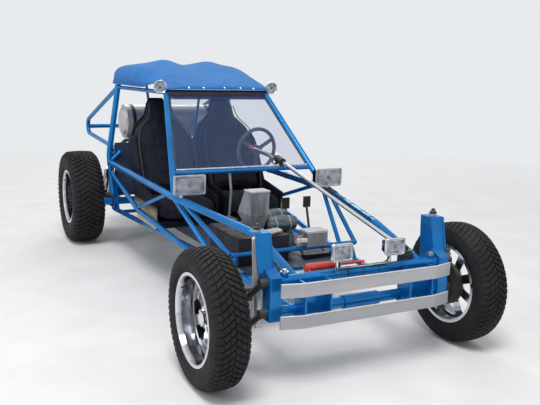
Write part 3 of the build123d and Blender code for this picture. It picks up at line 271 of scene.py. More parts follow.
def two_tone_shell():
    """Seat shell: black gel coat above, bare tan fibreglass low down on the outer sides, with an uneven
    border. Low down, every face but the outer side gets the same black as painted shade.
    """
    made, tree, bsdf = shader("seat_shell", Specular_IOR_Level=0.1)
    where = coordinates(tree)
    high_part = spread(tree, along(tree, where, "Z"), 0.44, 0.5)
    from_middle = calculate(tree, "ABSOLUTE", along(tree, where, "X"))
    # black mask: the gel coat above, and painted shade low down on every face but the outer side
    black = calculate(tree, "MAXIMUM", high_part, spread(tree, from_middle, 0.44, 0.45, 1.0, 0.0))
    tan = ramp(tree, noise(tree, 7, detail=6), 0.3, 0.7, (0.3, 0.24, 0.16), (0.5, 0.43, 0.31))
    dark = ramp(tree, noise(tree, 9, detail=6), 0.3, 0.7, (0.004, 0.005, 0.009), (0.012, 0.013, 0.02))
    surface(tree, bsdf, blend_colour(tree, black, tan, dark), 25, (0.6, 0.8))
    bump(tree, bsdf, noise(tree, 130, detail=3), 0.5, 0.0005)
    return made


def fabric(name, dark, light, threads, weave_depth, rough, dust=0.0, **sockets):
    """Woven cloth: two crossed wave textures as a bump, with uneven colour."""
    made, tree, bsdf = shader(name, **sockets)
    colour = ramp(tree, noise(tree, 6.0, detail=6), 0.3, 0.7, dark, light)
    if dust:
        colour = dusted(tree, colour, dust, (0.45, 0.44, 0.42))
    surface(tree, bsdf, colour, 30, rough)
    wave = {"Vector": coordinates(tree), "Scale": threads, "Distortion": 1.2, "Detail": 2}
    warp, weft = (node(tree, "TexWave", wave, out="Fac", bands_direction=way) for way in ("X", "Y"))
    bump(tree, bsdf, calculate(tree, "ADD", warp, weft), 0.5, weave_depth)
    return made


def clear(name, film_colour, film_share, rough):
    """Clear sheet: light goes straight through, with a thin reflecting film of a colour over it."""
    made, tree, bsdf = shader(name, IOR=1.45)
    lighter = tuple(c * 1.15 for c in film_colour)
    colour = ramp(tree, noise(tree, 3.0, detail=5), 0.3, 0.7, film_colour, lighter)
    surface(tree, bsdf, colour, 30, rough)
    see_through(tree, bsdf, spread(tree, noise(tree, 4.0, detail=8), 0.25, 0.75, *film_share),
                (0.96, 0.97, 0.985, 1))
    return made


def fluted_lens():
    """Lamp lens: clear with upright flutes and crossed steps in its normal."""
    made, tree, bsdf = shader("lens", IOR=1.5, Base_Color=(0.6, 0.63, 0.69, 1))
    tree.links.new(spread(tree, noise(tree, 40), 0.3, 0.7, 0.05, 0.16), bsdf.inputs["Roughness"])
    flutes = node(tree, "TexWave", {"Vector": coordinates(tree), "Scale": 26}, out="Fac")
    steps = node(tree, "TexWave", {"Vector": coordinates(tree), "Scale": 9}, out="Fac", bands_direction="Z")
    bump(tree, bsdf, calculate(tree, "ADD", flutes, steps), 0.7, 0.0012)
    see_through(tree, bsdf, spread(tree, noise(tree, 9, detail=6), 0.3, 0.7, 0.1, 0.22))
    return made


RIM_FRONT = plated_rim(*FRONT[:3])
RIM_REAR = plated_rim(*REAR[:3])
SEAT_SHELL = two_tone_shell()
TOP_FABRIC = fabric("top_fabric", (0.005, 0.125, 0.4), (0.01, 0.17, 0.48), 160, 0.0006, (0.75, 0.95),
                    dust=0.03, Sheen_Weight=0.05)
SEAT_FABRIC = fabric("seat_fabric", (0.003, 0.004, 0.01), (0.008, 0.009, 0.02), 220, 0.0005, (0.75, 0.9),
                     Sheen_Weight=0.04, Specular_IOR_Level=0.25)
PANE = clear("pane", (0.11, 0.17, 0.34), (0.1, 0.14), (0.04, 0.12))
SUN_STRIP = clear("sun_strip", (0.02, 0.025, 0.085), (0.8, 0.88), (0.1, 0.25))
LENS = fluted_lens()

NODE_LOOKS = {  # starts of the nodes' names; the other nodes are blue
    BARE_BAR: "bumper", PANE: "windshield_glass", DARK_PAINT: "floor_pan firewall", SEAT_SHELL: "seat_shells",
    SEAT_FABRIC: "seat_covers", ALUMINIUM: "fuel_tank front_shocks", TOP_FABRIC: "canopy",
    CAST_METAL: "transaxle engine gear_lever", DARK_CAST: "steering_box", RED_PAINT: "steering_damper",
    CHROME: "exhaust rear_shocks headlamps roof_lamps steering_shaft", GRIP: "steering_wheel",
    BLACK_PLASTIC: "battery_box", GREY_METAL: "control_boxes", RUBBER: "tyre", RIM_FRONT: "rim_front",
    RIM_REAR: "rim_rear",
    BLACK_METAL: "column_bearing tank_straps fan_shroud rear_arms front_arms pitman_arm knuckle tie_rod"
                 " pedals",
}


def wear(obj, look):
    """Gives an object its material."""
    obj.data.materials.clear()
    obj.data.materials.append(look)


for node_name, solid in nodes.items():
    looks = [look for look, starts in NODE_LOOKS.items() if node_name.startswith(tuple(starts.split()))]
    wear(solid, looks[0] if looks else BLUE_PAINT)


# mesh helpers
def edit(obj, change):
    """Changes an object's mesh as a bmesh."""
    work = bmesh.new()
    work.from_mesh(obj.data)
    change(work)
    work.to_mesh(obj.data)
    work.free()


def turn_outward(work):
    """Welds points and turns all faces outward."""
    bmesh.ops.remove_doubles(work, verts=work.verts, dist=1e-6)
    bmesh.ops.recalc_face_normals(work, faces=work.faces)


def smooth_by_angle(obj, degrees):
    """Smooth shading with sharp edges over an angle."""
    limit = radians(degrees)

    def change(work):
        for edge in work.edges:
            edge.smooth = len(edge.link_faces) == 2 and edge.calc_face_angle(0) < limit
        for face in work.faces:
            face.smooth = True
    edit(obj, change)


def piece(name, verts, faces, look, body="chassis", slot=None, degrees=None, smooth=True, outward=True):
    """A new mesh object from points and faces, riding on a body. Edges over an angle in degrees are sharp."""
    mesh = bpy.data.meshes.new(name)
    mesh.from_pydata([tuple(v) for v in verts], [], faces)
    mesh.validate()
    made = new_object(name, mesh)
    wear(made, look)
    for polygon in mesh.polygons:
        polygon.use_smooth = smooth
    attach(made, body)
    if outward:
        edit(made, turn_outward)
    if degrees:
        smooth_by_angle(made, degrees)
    return made


def thicken(obj, thickness, offset=-1.0):
    """Gives a sheet its thickness."""
    set_all(obj.modifiers.new("thickness", "SOLIDIFY"), thickness=thickness, offset=offset)


def grid_faces(rows, columns):
    """Quads of a grid of points that is stored row by row."""
    return [(r * columns + c, r * columns + c + 1, (r + 1) * columns + c + 1, (r + 1) * columns + c)
            for r in range(rows - 1) for c in range(columns - 1)]


def circle(count):
    """The angles of points round a circle."""
    return [2 * pi * k / count for k in range(count)]


# tyres
SHOULDER = 0.026  # from the tyre's side to where the tread starts to fall away
TREAD_EDGE = 0.01  # from the tyre's side to the tread's edge
CROWN_DROP = 0.005
SHOULDER_DROP = 0.017
BEAD_RADIUS = 0.206
SIDE_TOP = 0.024  # from the tread's top to the side's upper edge
CARCASS_SEGMENTS = 96

# Lugs of half a tread pitch: four corners as share of the half width and share of a pitch
CHEVRON = [
    [(0.03, -0.05), (0.3, -0.52), (0.3, -1.14), (0.03, -0.67)],
    [(0.34, -0.6), (0.66, -1.1), (0.66, -1.72), (0.34, -1.22)],
    [(0.7, -1.16), (1.06, -1.46), (1.06, -2.02), (0.7, -1.78)],
]


def tread_radius(x, width, radius):
    """Radius of the tread's outer surface at x across the tyre."""
    across = abs(x)
    flat = width / 2 - SHOULDER
    edge = width / 2 - TREAD_EDGE
    if across <= flat:
        return radius - CROWN_DROP * (across / flat) ** 2
    return radius - CROWN_DROP - SHOULDER_DROP * (across - flat) / (edge - flat)


def carcass_profile(radius, width, rim_width, depth):
    """x and radius of the carcass from bead to bead."""
    half = width / 2
    bead = rim_width / 2 - 0.006
    rim_edge = BEAD_RADIUS + 0.006
    profile = [(-bead, BEAD_RADIUS), (-bead - 0.004, rim_edge)]
    for share in (0.15, 0.35, 0.55, 0.75, 0.92):
        bulge = sin(pi * min(1, share * 0.98 + 0.02)) ** 0.6
        profile.append((-(bead + 0.004 + (half - 0.001 - bead - 0.004) * bulge),
                        rim_edge + (radius - SIDE_TOP - rim_edge) * share))
    profile.append((-(half - 0.011), radius - SIDE_TOP))
    for share in (-0.8, -0.5, -0.2):
        x = share * (half - 0.011)
        profile.append((x, tread_radius(x, width, radius) - depth))
    return profile + [(-x, r) for x, r in reversed(profile)]


def build_tyre(side, side_name, axle, axle_y, radius, half_track, width, rim_width, pitches, depth):
    """Tyre: carcass turned about the axle, with lugs over it."""
    name = f"tyre_{axle}_{side_name}"
    profile = carcass_profile(radius, width, rim_width, depth)
    count = len(profile)
    verts = []

    def put(x, r, angle):
        """Adds a point at x from the tyre's middle."""
        verts.append((side * half_track + x, axle_y + r * sin(angle), radius + r * cos(angle)))

    for angle in circle(CARCASS_SEGMENTS):
        for x, r in profile:
            put(x, r, angle)
    faces = []
    for i in range(CARCASS_SEGMENTS):
        for j in range(count - 1):
            a = i * count + j
            b = ((i + 1) % CARCASS_SEGMENTS) * count + j
            faces.append((a, b, b + 1, a + 1))
    for pitch in range(pitches):
        for hand, offset in ((1, 0.0), (-1, 0.5)):
            for inner_low, outer_low, outer_high, inner_high in CHEVRON:
                columns = 4 if outer_low[0] > 0.9 else 3
                base = len(verts)
                for t in (c / (columns - 1) for c in range(columns)):
                    x = (inner_low[0] + (outer_low[0] - inner_low[0]) * t) * (width / 2 - TREAD_EDGE)
                    low = inner_low[1] + (outer_low[1] - inner_low[1]) * t
                    high = inner_high[1] + (outer_high[1] - inner_high[1]) * t
                    top = tread_radius(x, width, radius) - 0.0005
                    for share, inset in ((low, 0.04), (high, -0.04)):
                        for r, move in ((top - depth - 0.003, 0), (top, inset)):
                            put(hand * x, r, 2 * pi * (pitch + offset + share + move) / pitches)
                for a in range(base, base + 4 * (columns - 1), 4):
                    b = a + 4
                    faces += [(a + 1, b + 1, b + 3, a + 3), (a, b, b + 1, a + 1),
                              (a + 2, a + 3, b + 3, b + 2)]
                last = base + (columns - 1) * 4
                faces += [(base, base + 1, base + 3, base + 2), (last, last + 2, last + 3, last + 1)]
    made = piece("tread_" + name, verts, faces, RUBBER, body=f"wheel_{axle}_{side_name}", degrees=32)
    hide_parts(name)


for sizes in (FRONT, REAR):
    for side, side_name in SIDES:
        build_tyre(side, side_name, *sizes)


# shapes that many pieces share
def ring_faces(rings, around, closed=False):
    """Quads between rings of points, stored one after another. In a closed form the last meets the first."""
    faces = []
    for r in range(rings if closed else rings - 1):
        low, high = r * around, (r + 1) % rings * around
        for k in range(around):
            m = (k + 1) % around
            faces.append((low + k, low + m, high + m, high + k))
    return faces


def refine(points, times):
    """Cuts each run of a line of points into shorter ones along a smooth curve."""
    made = []
    for i in range(len(points) - 1):
        before = points[max(0, i - 1)]
        a, b = points[i], points[i + 1]
        after = points[min(len(points) - 1, i + 2)]
        for t in (k / times for k in range(times)):
            made.append(tuple(
                0.5 * (2 * q + (r - p) * t + (2 * p - 5 * q + 4 * r - s) * t * t
                       + (3 * q - p - 3 * r + s) * t ** 3)
                for p, q, r, s in zip(before, a, b, after)))
    made.append(points[-1])
    return made


def tube(name, points, radius, look, segments=10, closed=False):
    """A round tube along points, with its frame carried from one point to the next."""
    points = [Vector(p) for p in points]
    count = len(points)
    verts = []
    side = None
    for i, p in enumerate(points):
        if closed:
            run = points[(i + 1) % count] - points[i - 1]
        else:
            run = points[min(i + 1, count - 1)] - points[max(i - 1, 0)]
        run.normalize()
        if side is None:
            side = run.cross(Vector((0, 0, 1)) if abs(run.z) < 0.9 else Vector((1, 0, 0)))
        side = (side - run * side.dot(run)).normalized()
        other = run.cross(side)
        verts += [p + (side * cos(a) + other * sin(a)) * radius for a in circle(segments)]
    faces = ring_faces(count, segments, closed)
    if not closed:
        faces.append(tuple(range(segments))[::-1])
        faces.append(tuple((count - 1) * segments + k for k in range(segments)))
    return piece(name, verts, faces, look, degrees=50)


def turned(name, centre, axis, outline, look, segments=24, degrees=35, body="chassis", slot=None):
    """A turned piece. Its outline, from foot to top, is radius and height along the axis in mm."""
    axis = Vector(axis).normalized()
    across = axis.orthogonal().normalized()
    other = axis.cross(across)
    verts = []
    rings = []
    for radius, height in ((r / 1000, h / 1000) for r, h in outline):
        base = Vector(centre) + axis * height
        if radius < 1e-6:
            rings.append([len(verts)])
            verts.append(base)
            continue
        rings.append(list(range(len(verts), len(verts) + segments)))
        verts += [base + (across * cos(a) + other * sin(a)) * radius for a in circle(segments)]
    faces = []
    for low, high in zip(rings, rings[1:]):
        for k in range(segments):
            m = (k + 1) % segments
            corners = [low[k % len(low)], low[m % len(low)], high[m % len(high)], high[k % len(high)]]
            corners = [c for i, c in enumerate(corners) if c not in corners[:i]]
            if len(corners) > 2:
                faces.append(tuple(corners))
    return piece(name, verts, faces, look, body, slot, degrees)


def join(name, made):
    """Joins pieces that ride on one body into the first one."""
    bpy.ops.object.select_all(action="DESELECT")
    for obj in made:
        obj.select_set(True)
    bpy.context.view_layer.objects.active = made[0]
    bpy.ops.object.join()
    made[0].name = name


# fabric top
TOP_PROFILE = [  # y, z of the sheet's middle line from the front hem to the rear hem
    (0.024, 1.232), (0.02, 1.244), (0.03, 1.256), (0.07, 1.27), (0.16, 1.3), (0.3, 1.34), (0.43, 1.368),
    (0.56, 1.386), (0.7, 1.386), (0.82, 1.378), (0.89, 1.372), (0.932, 1.36), (0.95, 1.33), (0.954, 1.29),
    (0.955, 1.245),
]
TOP_COLUMNS = 65
HEM_Z = 1.232
HUMPS = ((-0.178, 0.085, 0.036), (0.142, 0.09, 0.033), (0.0, 0.055, -0.004))  # x, width and height
HUMP_Y = (0.56, 0.26)  # where the humps are highest, and how far they run
ARCH = (0.2, 0.1, 0.03)  # y, length and height of the side hem's arch over the lamp
SNAP_ROW = 3  # of the sheet's points, as the columns of the snaps are
SNAP_COLUMNS = (16, 25, 34, 43, 52)


def hill(value, middle, width):
    """1 at the middle, and falling away smoothly on both sides."""
    return exp(-((value - middle) / width) ** 2)


def top_point(profile, step, across):
    """A point of the fabric top: a step along the profile and a share across, from -1 to 1."""
    y, z = profile[step]
    side = abs(across)
    back = min(1.0, max(0.0, y / 0.9))
    half_width = 0.354 + 0.102 * back ** 0.7
    hem_z = HEM_Z + 0.008 * back + ARCH[2] * hill(y, *ARCH[:2]) * side ** 8
    rise = max(0.0, z - hem_z)
    lift = (1 - side ** (3.0 + 6.5 * back)) ** (0.6 - 0.29 * back)
    x = half_width * copysign(side ** 0.8, across)
    ridge = hill(y, *HUMP_Y) * sum(height * hill(x, place, width) for place, width, height in HUMPS)
    sag = -0.008 * sin(pi * min(1, y / 0.85)) * (1 - side ** 2) * min(1.0, rise * 10)
    wave = 0.0022 * sin(9 * x / 0.4 + 3 * step / (len(profile) - 1)) * min(1.0, rise * 12)
    folds = 0.0016 * sin(46 * y + 5 * x) * hill(side, 0.93, 0.06)
    return Vector((x, y, hem_z + rise * lift + (ridge + sag) * lift + wave + folds))


profile = refine(TOP_PROFILE, 3)
top_verts = [top_point(profile, step, -1 + 2 * column / (TOP_COLUMNS - 1))
             for step in range(len(profile)) for column in range(TOP_COLUMNS)]
top = piece("fabric_top", top_verts, grid_faces(len(profile), TOP_COLUMNS), TOP_FABRIC, outward=False)
thicken(top, 0.0025, offset=1.0)
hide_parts("canopy")

HEMS = (  # edge, its points, how far its tube is moved, radius and look
    ("front", top_verts[:TOP_COLUMNS], (0, -0.002, 0.001), 0.0028, HEM),
    ("rear", top_verts[-TOP_COLUMNS:], (0, 0.002, 0.001), 0.003, TOP_FABRIC),
    ("left", top_verts[TOP_COLUMNS - 1::TOP_COLUMNS], (0.001, 0, 0.001), 0.003, TOP_FABRIC),
    ("right", top_verts[::TOP_COLUMNS], (-0.001, 0, 0.001), 0.003, TOP_FABRIC),
)
hem = [tube(f"hem_{edge}", [p + Vector(move) for p in line], radius, look)
       for edge, line, move, radius, look in HEMS]
join("top_snaps", [
    turned(f"snap_{k}", top_verts[TOP_COLUMNS * SNAP_ROW + k] + Vector((0, 0.0005, 0)), (0, -1, 0.15),
           [(0, 0), (6.5, 0), (6.5, 2.5), (4, 4.5), (0, 5)], CHROME, 14)
    for k in SNAP_COLUMNS])


# bolts, lug nuts and valves
WASHER = 1.6  # mm
DISC_FACE = {"front": 0.002, "rear": -0.016}  # outer face of the rim's disc, from the tyre's middle
LUG_CIRCLE = 0.048  # radius round the axle
VALVE_CIRCLE = 0.176  # radius round the axle
VALVE_ANGLE = 0.7  # from the rear, up


def fasteners(name, places, axis, across, height, look=STEEL, body="chassis"):
    """One piece with a hexagon bolt head on a washer at each place. Across and height are in mm."""
    washer = [(0, 0), (across * 0.95, 0), (across * 0.95, WASHER), (0, WASHER)]
    head = [(0, 0), (across * 0.58, 0), (across * 0.58, height * 0.85), (across * 0.5, height), (0, height)]
    lift = Vector(axis).normalized() * (WASHER / 1000)
    made = []
    for i, place in enumerate(places):
        made.append(turned(f"{name}_{i}_washer", place, axis, washer, look, 18, body=body))
        made.append(turned(f"{name}_{i}", Vector(place) + lift, axis, head, look, 6, 25, body))
    join(name, made)


for axle, axle_y, axle_z, half_track, _, rim_width, *_ in (FRONT, REAR):
    for side, side_name in SIDES:
        wheel = f"wheel_{axle}_{side_name}"
        nuts = [(side * (half_track + DISC_FACE[axle]), axle_y + LUG_CIRCLE * cos(a),
                 axle_z + LUG_CIRCLE * sin(a)) for a in (2 * pi * (k + 0.25) / 5 for k in range(5))]
        fasteners(f"lug_nuts_{axle}_{side_name}", nuts, (side, 0, 0), 19, 14, CHROME, wheel)
        valve_y, valve_z = cos(VALVE_ANGLE), sin(VALVE_ANGLE)
        foot = (side * (half_track + rim_width / 2 - 0.028), axle_y + VALVE_CIRCLE * valve_y,
                axle_z + VALVE_CIRCLE * valve_z)
        turned(f"valve_{axle}_{side_name}", foot, (side, -0.3 * valve_y, -0.3 * valve_z),
               [(0, 0), (6, 0), (5, 12), (4, 14), (4, 28), (0, 29)], CABLE_BLACK, 12, body=wheel, slot="tyre")


# seats
BACK_LINE = (  # z, y of the front at the middle, y of the bolsters, y of the rear, half width
    (0.5, 0.3, 0.222, 0.42, 0.15), (0.54, 0.262, 0.205, 0.442, 0.196), (0.6, 0.283, 0.232, 0.462, 0.206),
    (0.68, 0.311, 0.268, 0.488, 0.209), (0.76, 0.343, 0.306, 0.513, 0.21), (0.83, 0.372, 0.345, 0.535, 0.208),
    (0.89, 0.397, 0.378, 0.553, 0.2), (0.94, 0.42, 0.406, 0.568, 0.184), (0.975, 0.436, 0.428, 0.578, 0.156),
    (1.0, 0.447, 0.443, 0.585, 0.126), (1.03, 0.46, 0.458, 0.593, 0.102), (1.065, 0.474, 0.474, 0.602, 0.091),
    (1.1, 0.489, 0.49, 0.609, 0.083), (1.125, 0.506, 0.508, 0.612, 0.068), (1.141, 0.53, 0.531, 0.606, 0.04),
)
BASE_LINE = (  # y, z of the top at the middle, z of the bolsters, z of the underside, half width
    (-0.068, 0.5, 0.505, 0.412, 0.168), (-0.058, 0.521, 0.53, 0.406, 0.188),
    (-0.03, 0.532, 0.548, 0.404, 0.197), (0.03, 0.53, 0.551, 0.402, 0.2), (0.1, 0.523, 0.553, 0.4, 0.201),
    (0.17, 0.517, 0.556, 0.398, 0.201), (0.235, 0.511, 0.556, 0.4, 0.198), (0.275, 0.5, 0.54, 0.404, 0.188),
    (0.292, 0.48, 0.5, 0.412, 0.16),
)
SEAT_X = 0.24
PAD_SIDES = 40
PAD_SQUARE = 3.2  # how square a pad's cut is: 2 is an ellipse
VOXEL = 0.008
SHRINK = 0.005  # taken off all round before the cloth swells
PRESSURE = 3.5
MOST_SWELL = 0.016  # how far the cloth may move a point
CLOTH_FRAMES = 16
LONG_SEAMS = (SEAT_X - 0.075, SEAT_X + 0.075)
CROSS_SEAM = 0.082  # half the length of a seam between the long ones
SEAM_WIDTH = 0.006
SEAM_DEPTH = 0.006


def section(half_width, front, bolster, rear):
    """Closed outline of a pad's cut: x across, and depth from the front face to the rear face."""
    points = []
    middle = (front + rear) / 2
    for angle in circle(PAD_SIDES):
        c, s = cos(angle), sin(angle)
        x = half_width * copysign(abs(c) ** (2 / PAD_SQUARE), c)
        share = copysign(abs(s) ** (2 / PAD_SQUARE), s)
        near = front + (bolster - front) * min(1.0, abs(x) / half_width) ** 4
        points.append((x, middle + ((near - middle) if share > 0 else (middle - rear)) * share))
    return points


def loft(rings):
    """Points and faces of a closed form through rings of points, capped by a middle point."""
    verts = [p for ring in rings for p in ring]
    count = len(rings[0])
    faces = ring_faces(len(rings), count)
    for ring, start, turn in ((rings[0], 0, -1), (rings[-1], (len(rings) - 1) * count, 1)):
        middle = len(verts)
        verts.append(sum(ring, Vector()) / count)
        faces += [(start + k, start + (k + 1) % count, middle)[::turn] for k in range(count)]
    return verts, faces


def swell(obj, pins):
    """Blows a closed form up a little with cloth, with a cap on how far a point may move."""
    mesh = obj.data
    held = obj.vertex_groups.new(name="held")
    held.add([v.index for v in mesh.vertices if pins(v.co)], 1.0, "REPLACE")
    before = [v.co.copy() for v in mesh.vertices]
    cloth = obj.modifiers.new("swell", "CLOTH")
    set_all(cloth.settings, use_pressure=True, uniform_pressure_force=PRESSURE, quality=5, mass=0.35,
            tension_stiffness=12, compression_stiffness=9, bending_stiffness=0.35, vertex_group_mass="held")
    cloth.settings.effector_weights.gravity = 0
    cloth.collision_settings.use_collision = False
    set_all(cloth.point_cache, frame_start=1, frame_end=CLOTH_FRAMES)
    for step in range(1, CLOTH_FRAMES + 1):
        bpy.context.scene.frame_set(step)
    moved = obj.evaluated_get(bpy.context.evaluated_depsgraph_get())
    after = [v.co.copy() for v in moved.data.vertices]
    obj.modifiers.remove(cloth)
    bpy.context.scene.frame_set(1)
    for vert, old, new in zip(mesh.vertices, before, after):
        step = new - old
        if step.length > MOST_SWELL:
            step *= MOST_SWELL / step.length
        vert.co = old + step


def pad(name, rings, pins):
    """A padded piece from rings of points. The points that pins picks stay where they are."""
    made = piece(name, *loft(rings), SEAT_FABRIC)
    bpy.ops.object.select_all(action="DESELECT")
    bpy.context.view_layer.objects.active = made
    made.select_set(True)
    remesh = made.modifiers.new("remesh", "REMESH")
    set_all(remesh, mode="VOXEL", voxel_size=VOXEL, use_smooth_shade=True)
    bpy.ops.object.modifier_apply(modifier=remesh.name)

    def shrink(work):
        work.normal_update()
        for vert in work.verts:
            vert.co -= vert.normal * SHRINK
    edit(made, shrink)
    swell(made, pins)
    return made


def long_seams(on_face):
    """The two seams along a pad, on the face where a test of a point and its normal holds."""
    return [(lambda co, normal, x=x: abs(co.x - x) if on_face(co, normal) else None) for x in LONG_SEAMS]


def cross_seam(axis, value, normal_axis, sign, half_width=CROSS_SEAM):
    """A seam across a face, at a value on an axis."""
    def away(co, normal):
        if normal[normal_axis] * sign < 0.45 or abs(co.x - SEAT_X) > half_width:
            return None
        return abs(co[axis] - value)
    return away


def sew(obj, seams):
    """Presses sewn channels into a pad. A seam gives its distance from a point, or None."""
    def press(work):
        work.normal_update()
        moves = []
        for vert in work.verts:
            ways = [seam(vert.co, vert.normal) for seam in seams]
            most = max((hill(away, 0.0, SEAM_WIDTH) for away in ways if away is not None), default=0.0)
            moves.append(vert.normal * (-SEAM_DEPTH * most))
        for vert, move in zip(work.verts, moves):
            vert.co += move
    edit(obj, press)


def mirrored(obj, name):
    """The same piece on the other side of the car."""
    made = obj.copy()
    made.data = obj.data.copy()
    made.name = name
    made.data.name = name
    for vert in made.data.vertices:
        vert.co.x = -vert.co.x
    made.data.flip_normals()
    bpy.context.scene.collection.objects.link(made)
    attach(made, "chassis")
    return made


back_rings = [[Vector((SEAT_X + x, depth, z)) for x, depth in section(half_width, front, bolster, rear)]
              for z, front, bolster, rear, half_width in refine(BACK_LINE, 2)]
base_rings = [[Vector((SEAT_X + x, y, height)) for x, height in section(half_width, crown, bolster, under)]
              for y, crown, bolster, under, half_width in refine(BASE_LINE, 2)]
back_left = pad("seat_back_left", back_rings, lambda co: co.y > 0.42 + (co.z - 0.5) * 0.27)
base_left = pad("seat_base_left", base_rings, lambda co: co.z < 0.42)
sew(back_left, [cross_seam(2, z, 1, -1) for z in (0.66, 0.74, 0.82, 0.9)] + [cross_seam(2, 0.995, 1, -1, 0.2)]
    + long_seams(lambda co, normal: normal.y < -0.35 and co.z < 0.99))
sew(base_left, [cross_seam(1, y, 2, 1) for y in (0.02, 0.09, 0.16)]
    + long_seams(lambda co, normal: normal.y < -0.35 or normal.z > 0.45))
for made in (back_left, base_left):
    set_all(made.modifiers.new("smooth", "SUBSURF"), levels=1, render_levels=1)
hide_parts("seat_covers")
for obj, name in ((back_left, "seat_back_right"), (base_left, "seat_base_right")):
    mirrored(obj, name)

# Piping round each seat back where the face meets the side
for side, side_name in SIDES:
    for hand, hand_name in ((1, "outer"), (-1, "inner")):
        line = [(side * (SEAT_X + hand * half_width * 0.93), bolster + 0.016, z)
                for z, front, bolster, rear, half_width in refine(BACK_LINE[1:13], 3)]
        tube(f"seat_piping_{side_name}_{hand_name}", line, 0.0032, PIPING, segments=6)


# lamps
LAMPS = (  # name, x, y of the front, z, width and height
    ("head", 0.448, -0.65, 0.738, 0.185, 0.112), ("drive", 0.143, -1.736, 0.601, 0.106, 0.078),
)
RING_OUTLINE = ((0.0, 0.006), (0.002, -0.0015), (0.0054, -0.003), (0.009, 0.003))  # inset and y of each ring
RING_CORNER = 0.01
RING_STEPS = 5
ROOF_LAMP = (0.392, 1.247)  # x and z
ROOF_PARTS = (  # name, y, outline, look and segments
    ("lens", 0.0405, [(36.5, -0.5), (36.5, 2), (26, 6), (12, 8), (0, 8.5)], LENS, 32),
    ("reflector", 0.0405, [(9, -0.4), (20, -0.2), (36.5, 1.2)], REFLECTOR, 32),
    ("bulb", 0.0405, [(9.5, -0.5), (9.5, 2), (6, 4), (0, 4.5)], BULB_CAP, 18),
    ("bezel", 0.036, [(36.2, -3), (36.2, 1.5), (38.5, 3), (41.5, 2), (42.5, -2)],
     CHROME, 32),
)


def lamp_sheet(name, centre, width, height, columns, rows, depth, look):
    """A rectangular sheet behind a lamp's front. Depth is a function of the shares across and up, -1 to 1."""
    x, y, z = centre
    verts = []
    for v in (-1 + 2 * r / (rows - 1) for r in range(rows)):
        for u in (-1 + 2 * c / (columns - 1) for c in range(columns)):
            verts.append((x + u * width / 2, y + depth(u, v), z + v * height / 2))
    return piece(name, verts, grid_faces(rows, columns), look)


def frame_ring(name, centre, width, height):
    """Bevelled bright frame on a lamp's front edge."""
    verts = []
    for inset, dy in RING_OUTLINE:
        reach = max(0.002, RING_CORNER - inset)
        pulled = max(0.0, inset - RING_CORNER + reach)
        for k, (right, above) in enumerate(((1, 1), (-1, 1), (-1, -1), (1, -1))):
            for j in range(RING_STEPS):
                angle = pi / 2 * (k + j / (RING_STEPS - 1))
                verts.append(Vector(centre) + Vector((
                    right * (width / 2 - RING_CORNER - pulled) + reach * cos(angle), dy,
                    above * (height / 2 - RING_CORNER - pulled) + reach * sin(angle))))
    piece(name, verts, ring_faces(len(RING_OUTLINE), 4 * RING_STEPS), STEEL, slot="lamp", degrees=40)


for lamp, lamp_x, lamp_y, lamp_z, width, height in LAMPS:
    for side, side_name in SIDES:
        centre = (side * lamp_x, lamp_y, lamp_z)
        lens = lamp_sheet(f"{lamp}_lens_{side_name}", centre, width - 0.02, height - 0.02, 15, 11,
                          lambda u, v: 0.0045 - 0.006 * (1 - u ** 4) * (1 - v ** 4), LENS)
        thicken(lens, 0.0015)
        frame_ring(f"{lamp}_bezel_{side_name}", centre, width, height)
        lamp_sheet(f"{lamp}_reflector_{side_name}", centre, width - 0.018, height - 0.018, 17, 13,
                   lambda u, v: 0.0017 + 0.003 * max(0.0, 1 - (u * u + v * v) * 0.6), REFLECTOR)
        bulb = height * 120  # mm
        turned(f"{lamp}_reflector_{side_name}_cap", (side * lamp_x, lamp_y + 0.0046, lamp_z), (0, -1, 0),
               [(0, 0), (bulb, 0), (bulb, 1.5), (bulb * 0.6, 2.8), (0, 3.2)], BULB_CAP, 18)
for side, side_name in SIDES:
    for part, y, outline, look, segments in ROOF_PARTS:
        turned(f"roof_{part}_{side_name}", (side * ROOF_LAMP[0], y, ROOF_LAMP[1]), (0, -1, 0), outline, look,
               segments, slot="lamp")


# bundles beside the battery, and what lies over the boxes in the footwell
BUNDLE_TIES = (0.28, 0.72)
BUNDLE_RINGS = 34
BUNDLE_SIDES = 44
CONNECTOR_Y = -1.1


def bundle(name, centre, half, turn, seed, look=WRAP):
    """Rolled and tied cloth: a lumpy roll along x with folds along it, drawn in at its ties."""
    rings = []
    cos_turn, sin_turn = cos(turn), sin(turn)
    for t in (i / (BUNDLE_RINGS - 1) for i in range(BUNDLE_RINGS)):
        run = (t * 2 - 1) * half[0]
        end = max(0.25, (1 - abs(2 * t - 1) ** 7) ** 0.5 if 0 < t < 1 else 0.25)
        ties = 1 - 0.13 * sum(hill(t, place, 0.035) for place in BUNDLE_TIES)
        ring = []
        for angle in circle(BUNDLE_SIDES):
            fold = 0.055 * sin(5 * angle + 2.2 * t + seed) + 0.035 * sin(9 * angle - 5 * t + 2 * seed)
            reach = (1 + fold + 0.03 * sin(13 * t + 3 * angle + seed)) * end * ties
            y, z = half[1] * cos(angle) * reach, half[2] * sin(angle) * reach
            away = Vector((run * cos_turn - y * sin_turn, run * sin_turn + y * cos_turn, z))
            ring.append(Vector(centre) + away)
        rings.append(ring)
    piece(name, *loft(rings), look)
    for place in BUNDLE_TIES:
        run = (place * 2 - 1) * half[0]
        middle = Vector(centre) + Vector((run * cos_turn, run * sin_turn, 0))
        loop = []
        for angle in circle(30):
            y, z = half[1] * 0.93 * cos(angle), half[2] * 0.93 * sin(angle)
            loop.append(middle + Vector((-y * sin_turn + 0.004 * sin(2 * angle), y * cos_turn, z)))
        tube(f"{name}_tie_{int(place * 100)}", loop, 0.003, CORD_PALE, segments=6, closed=True)


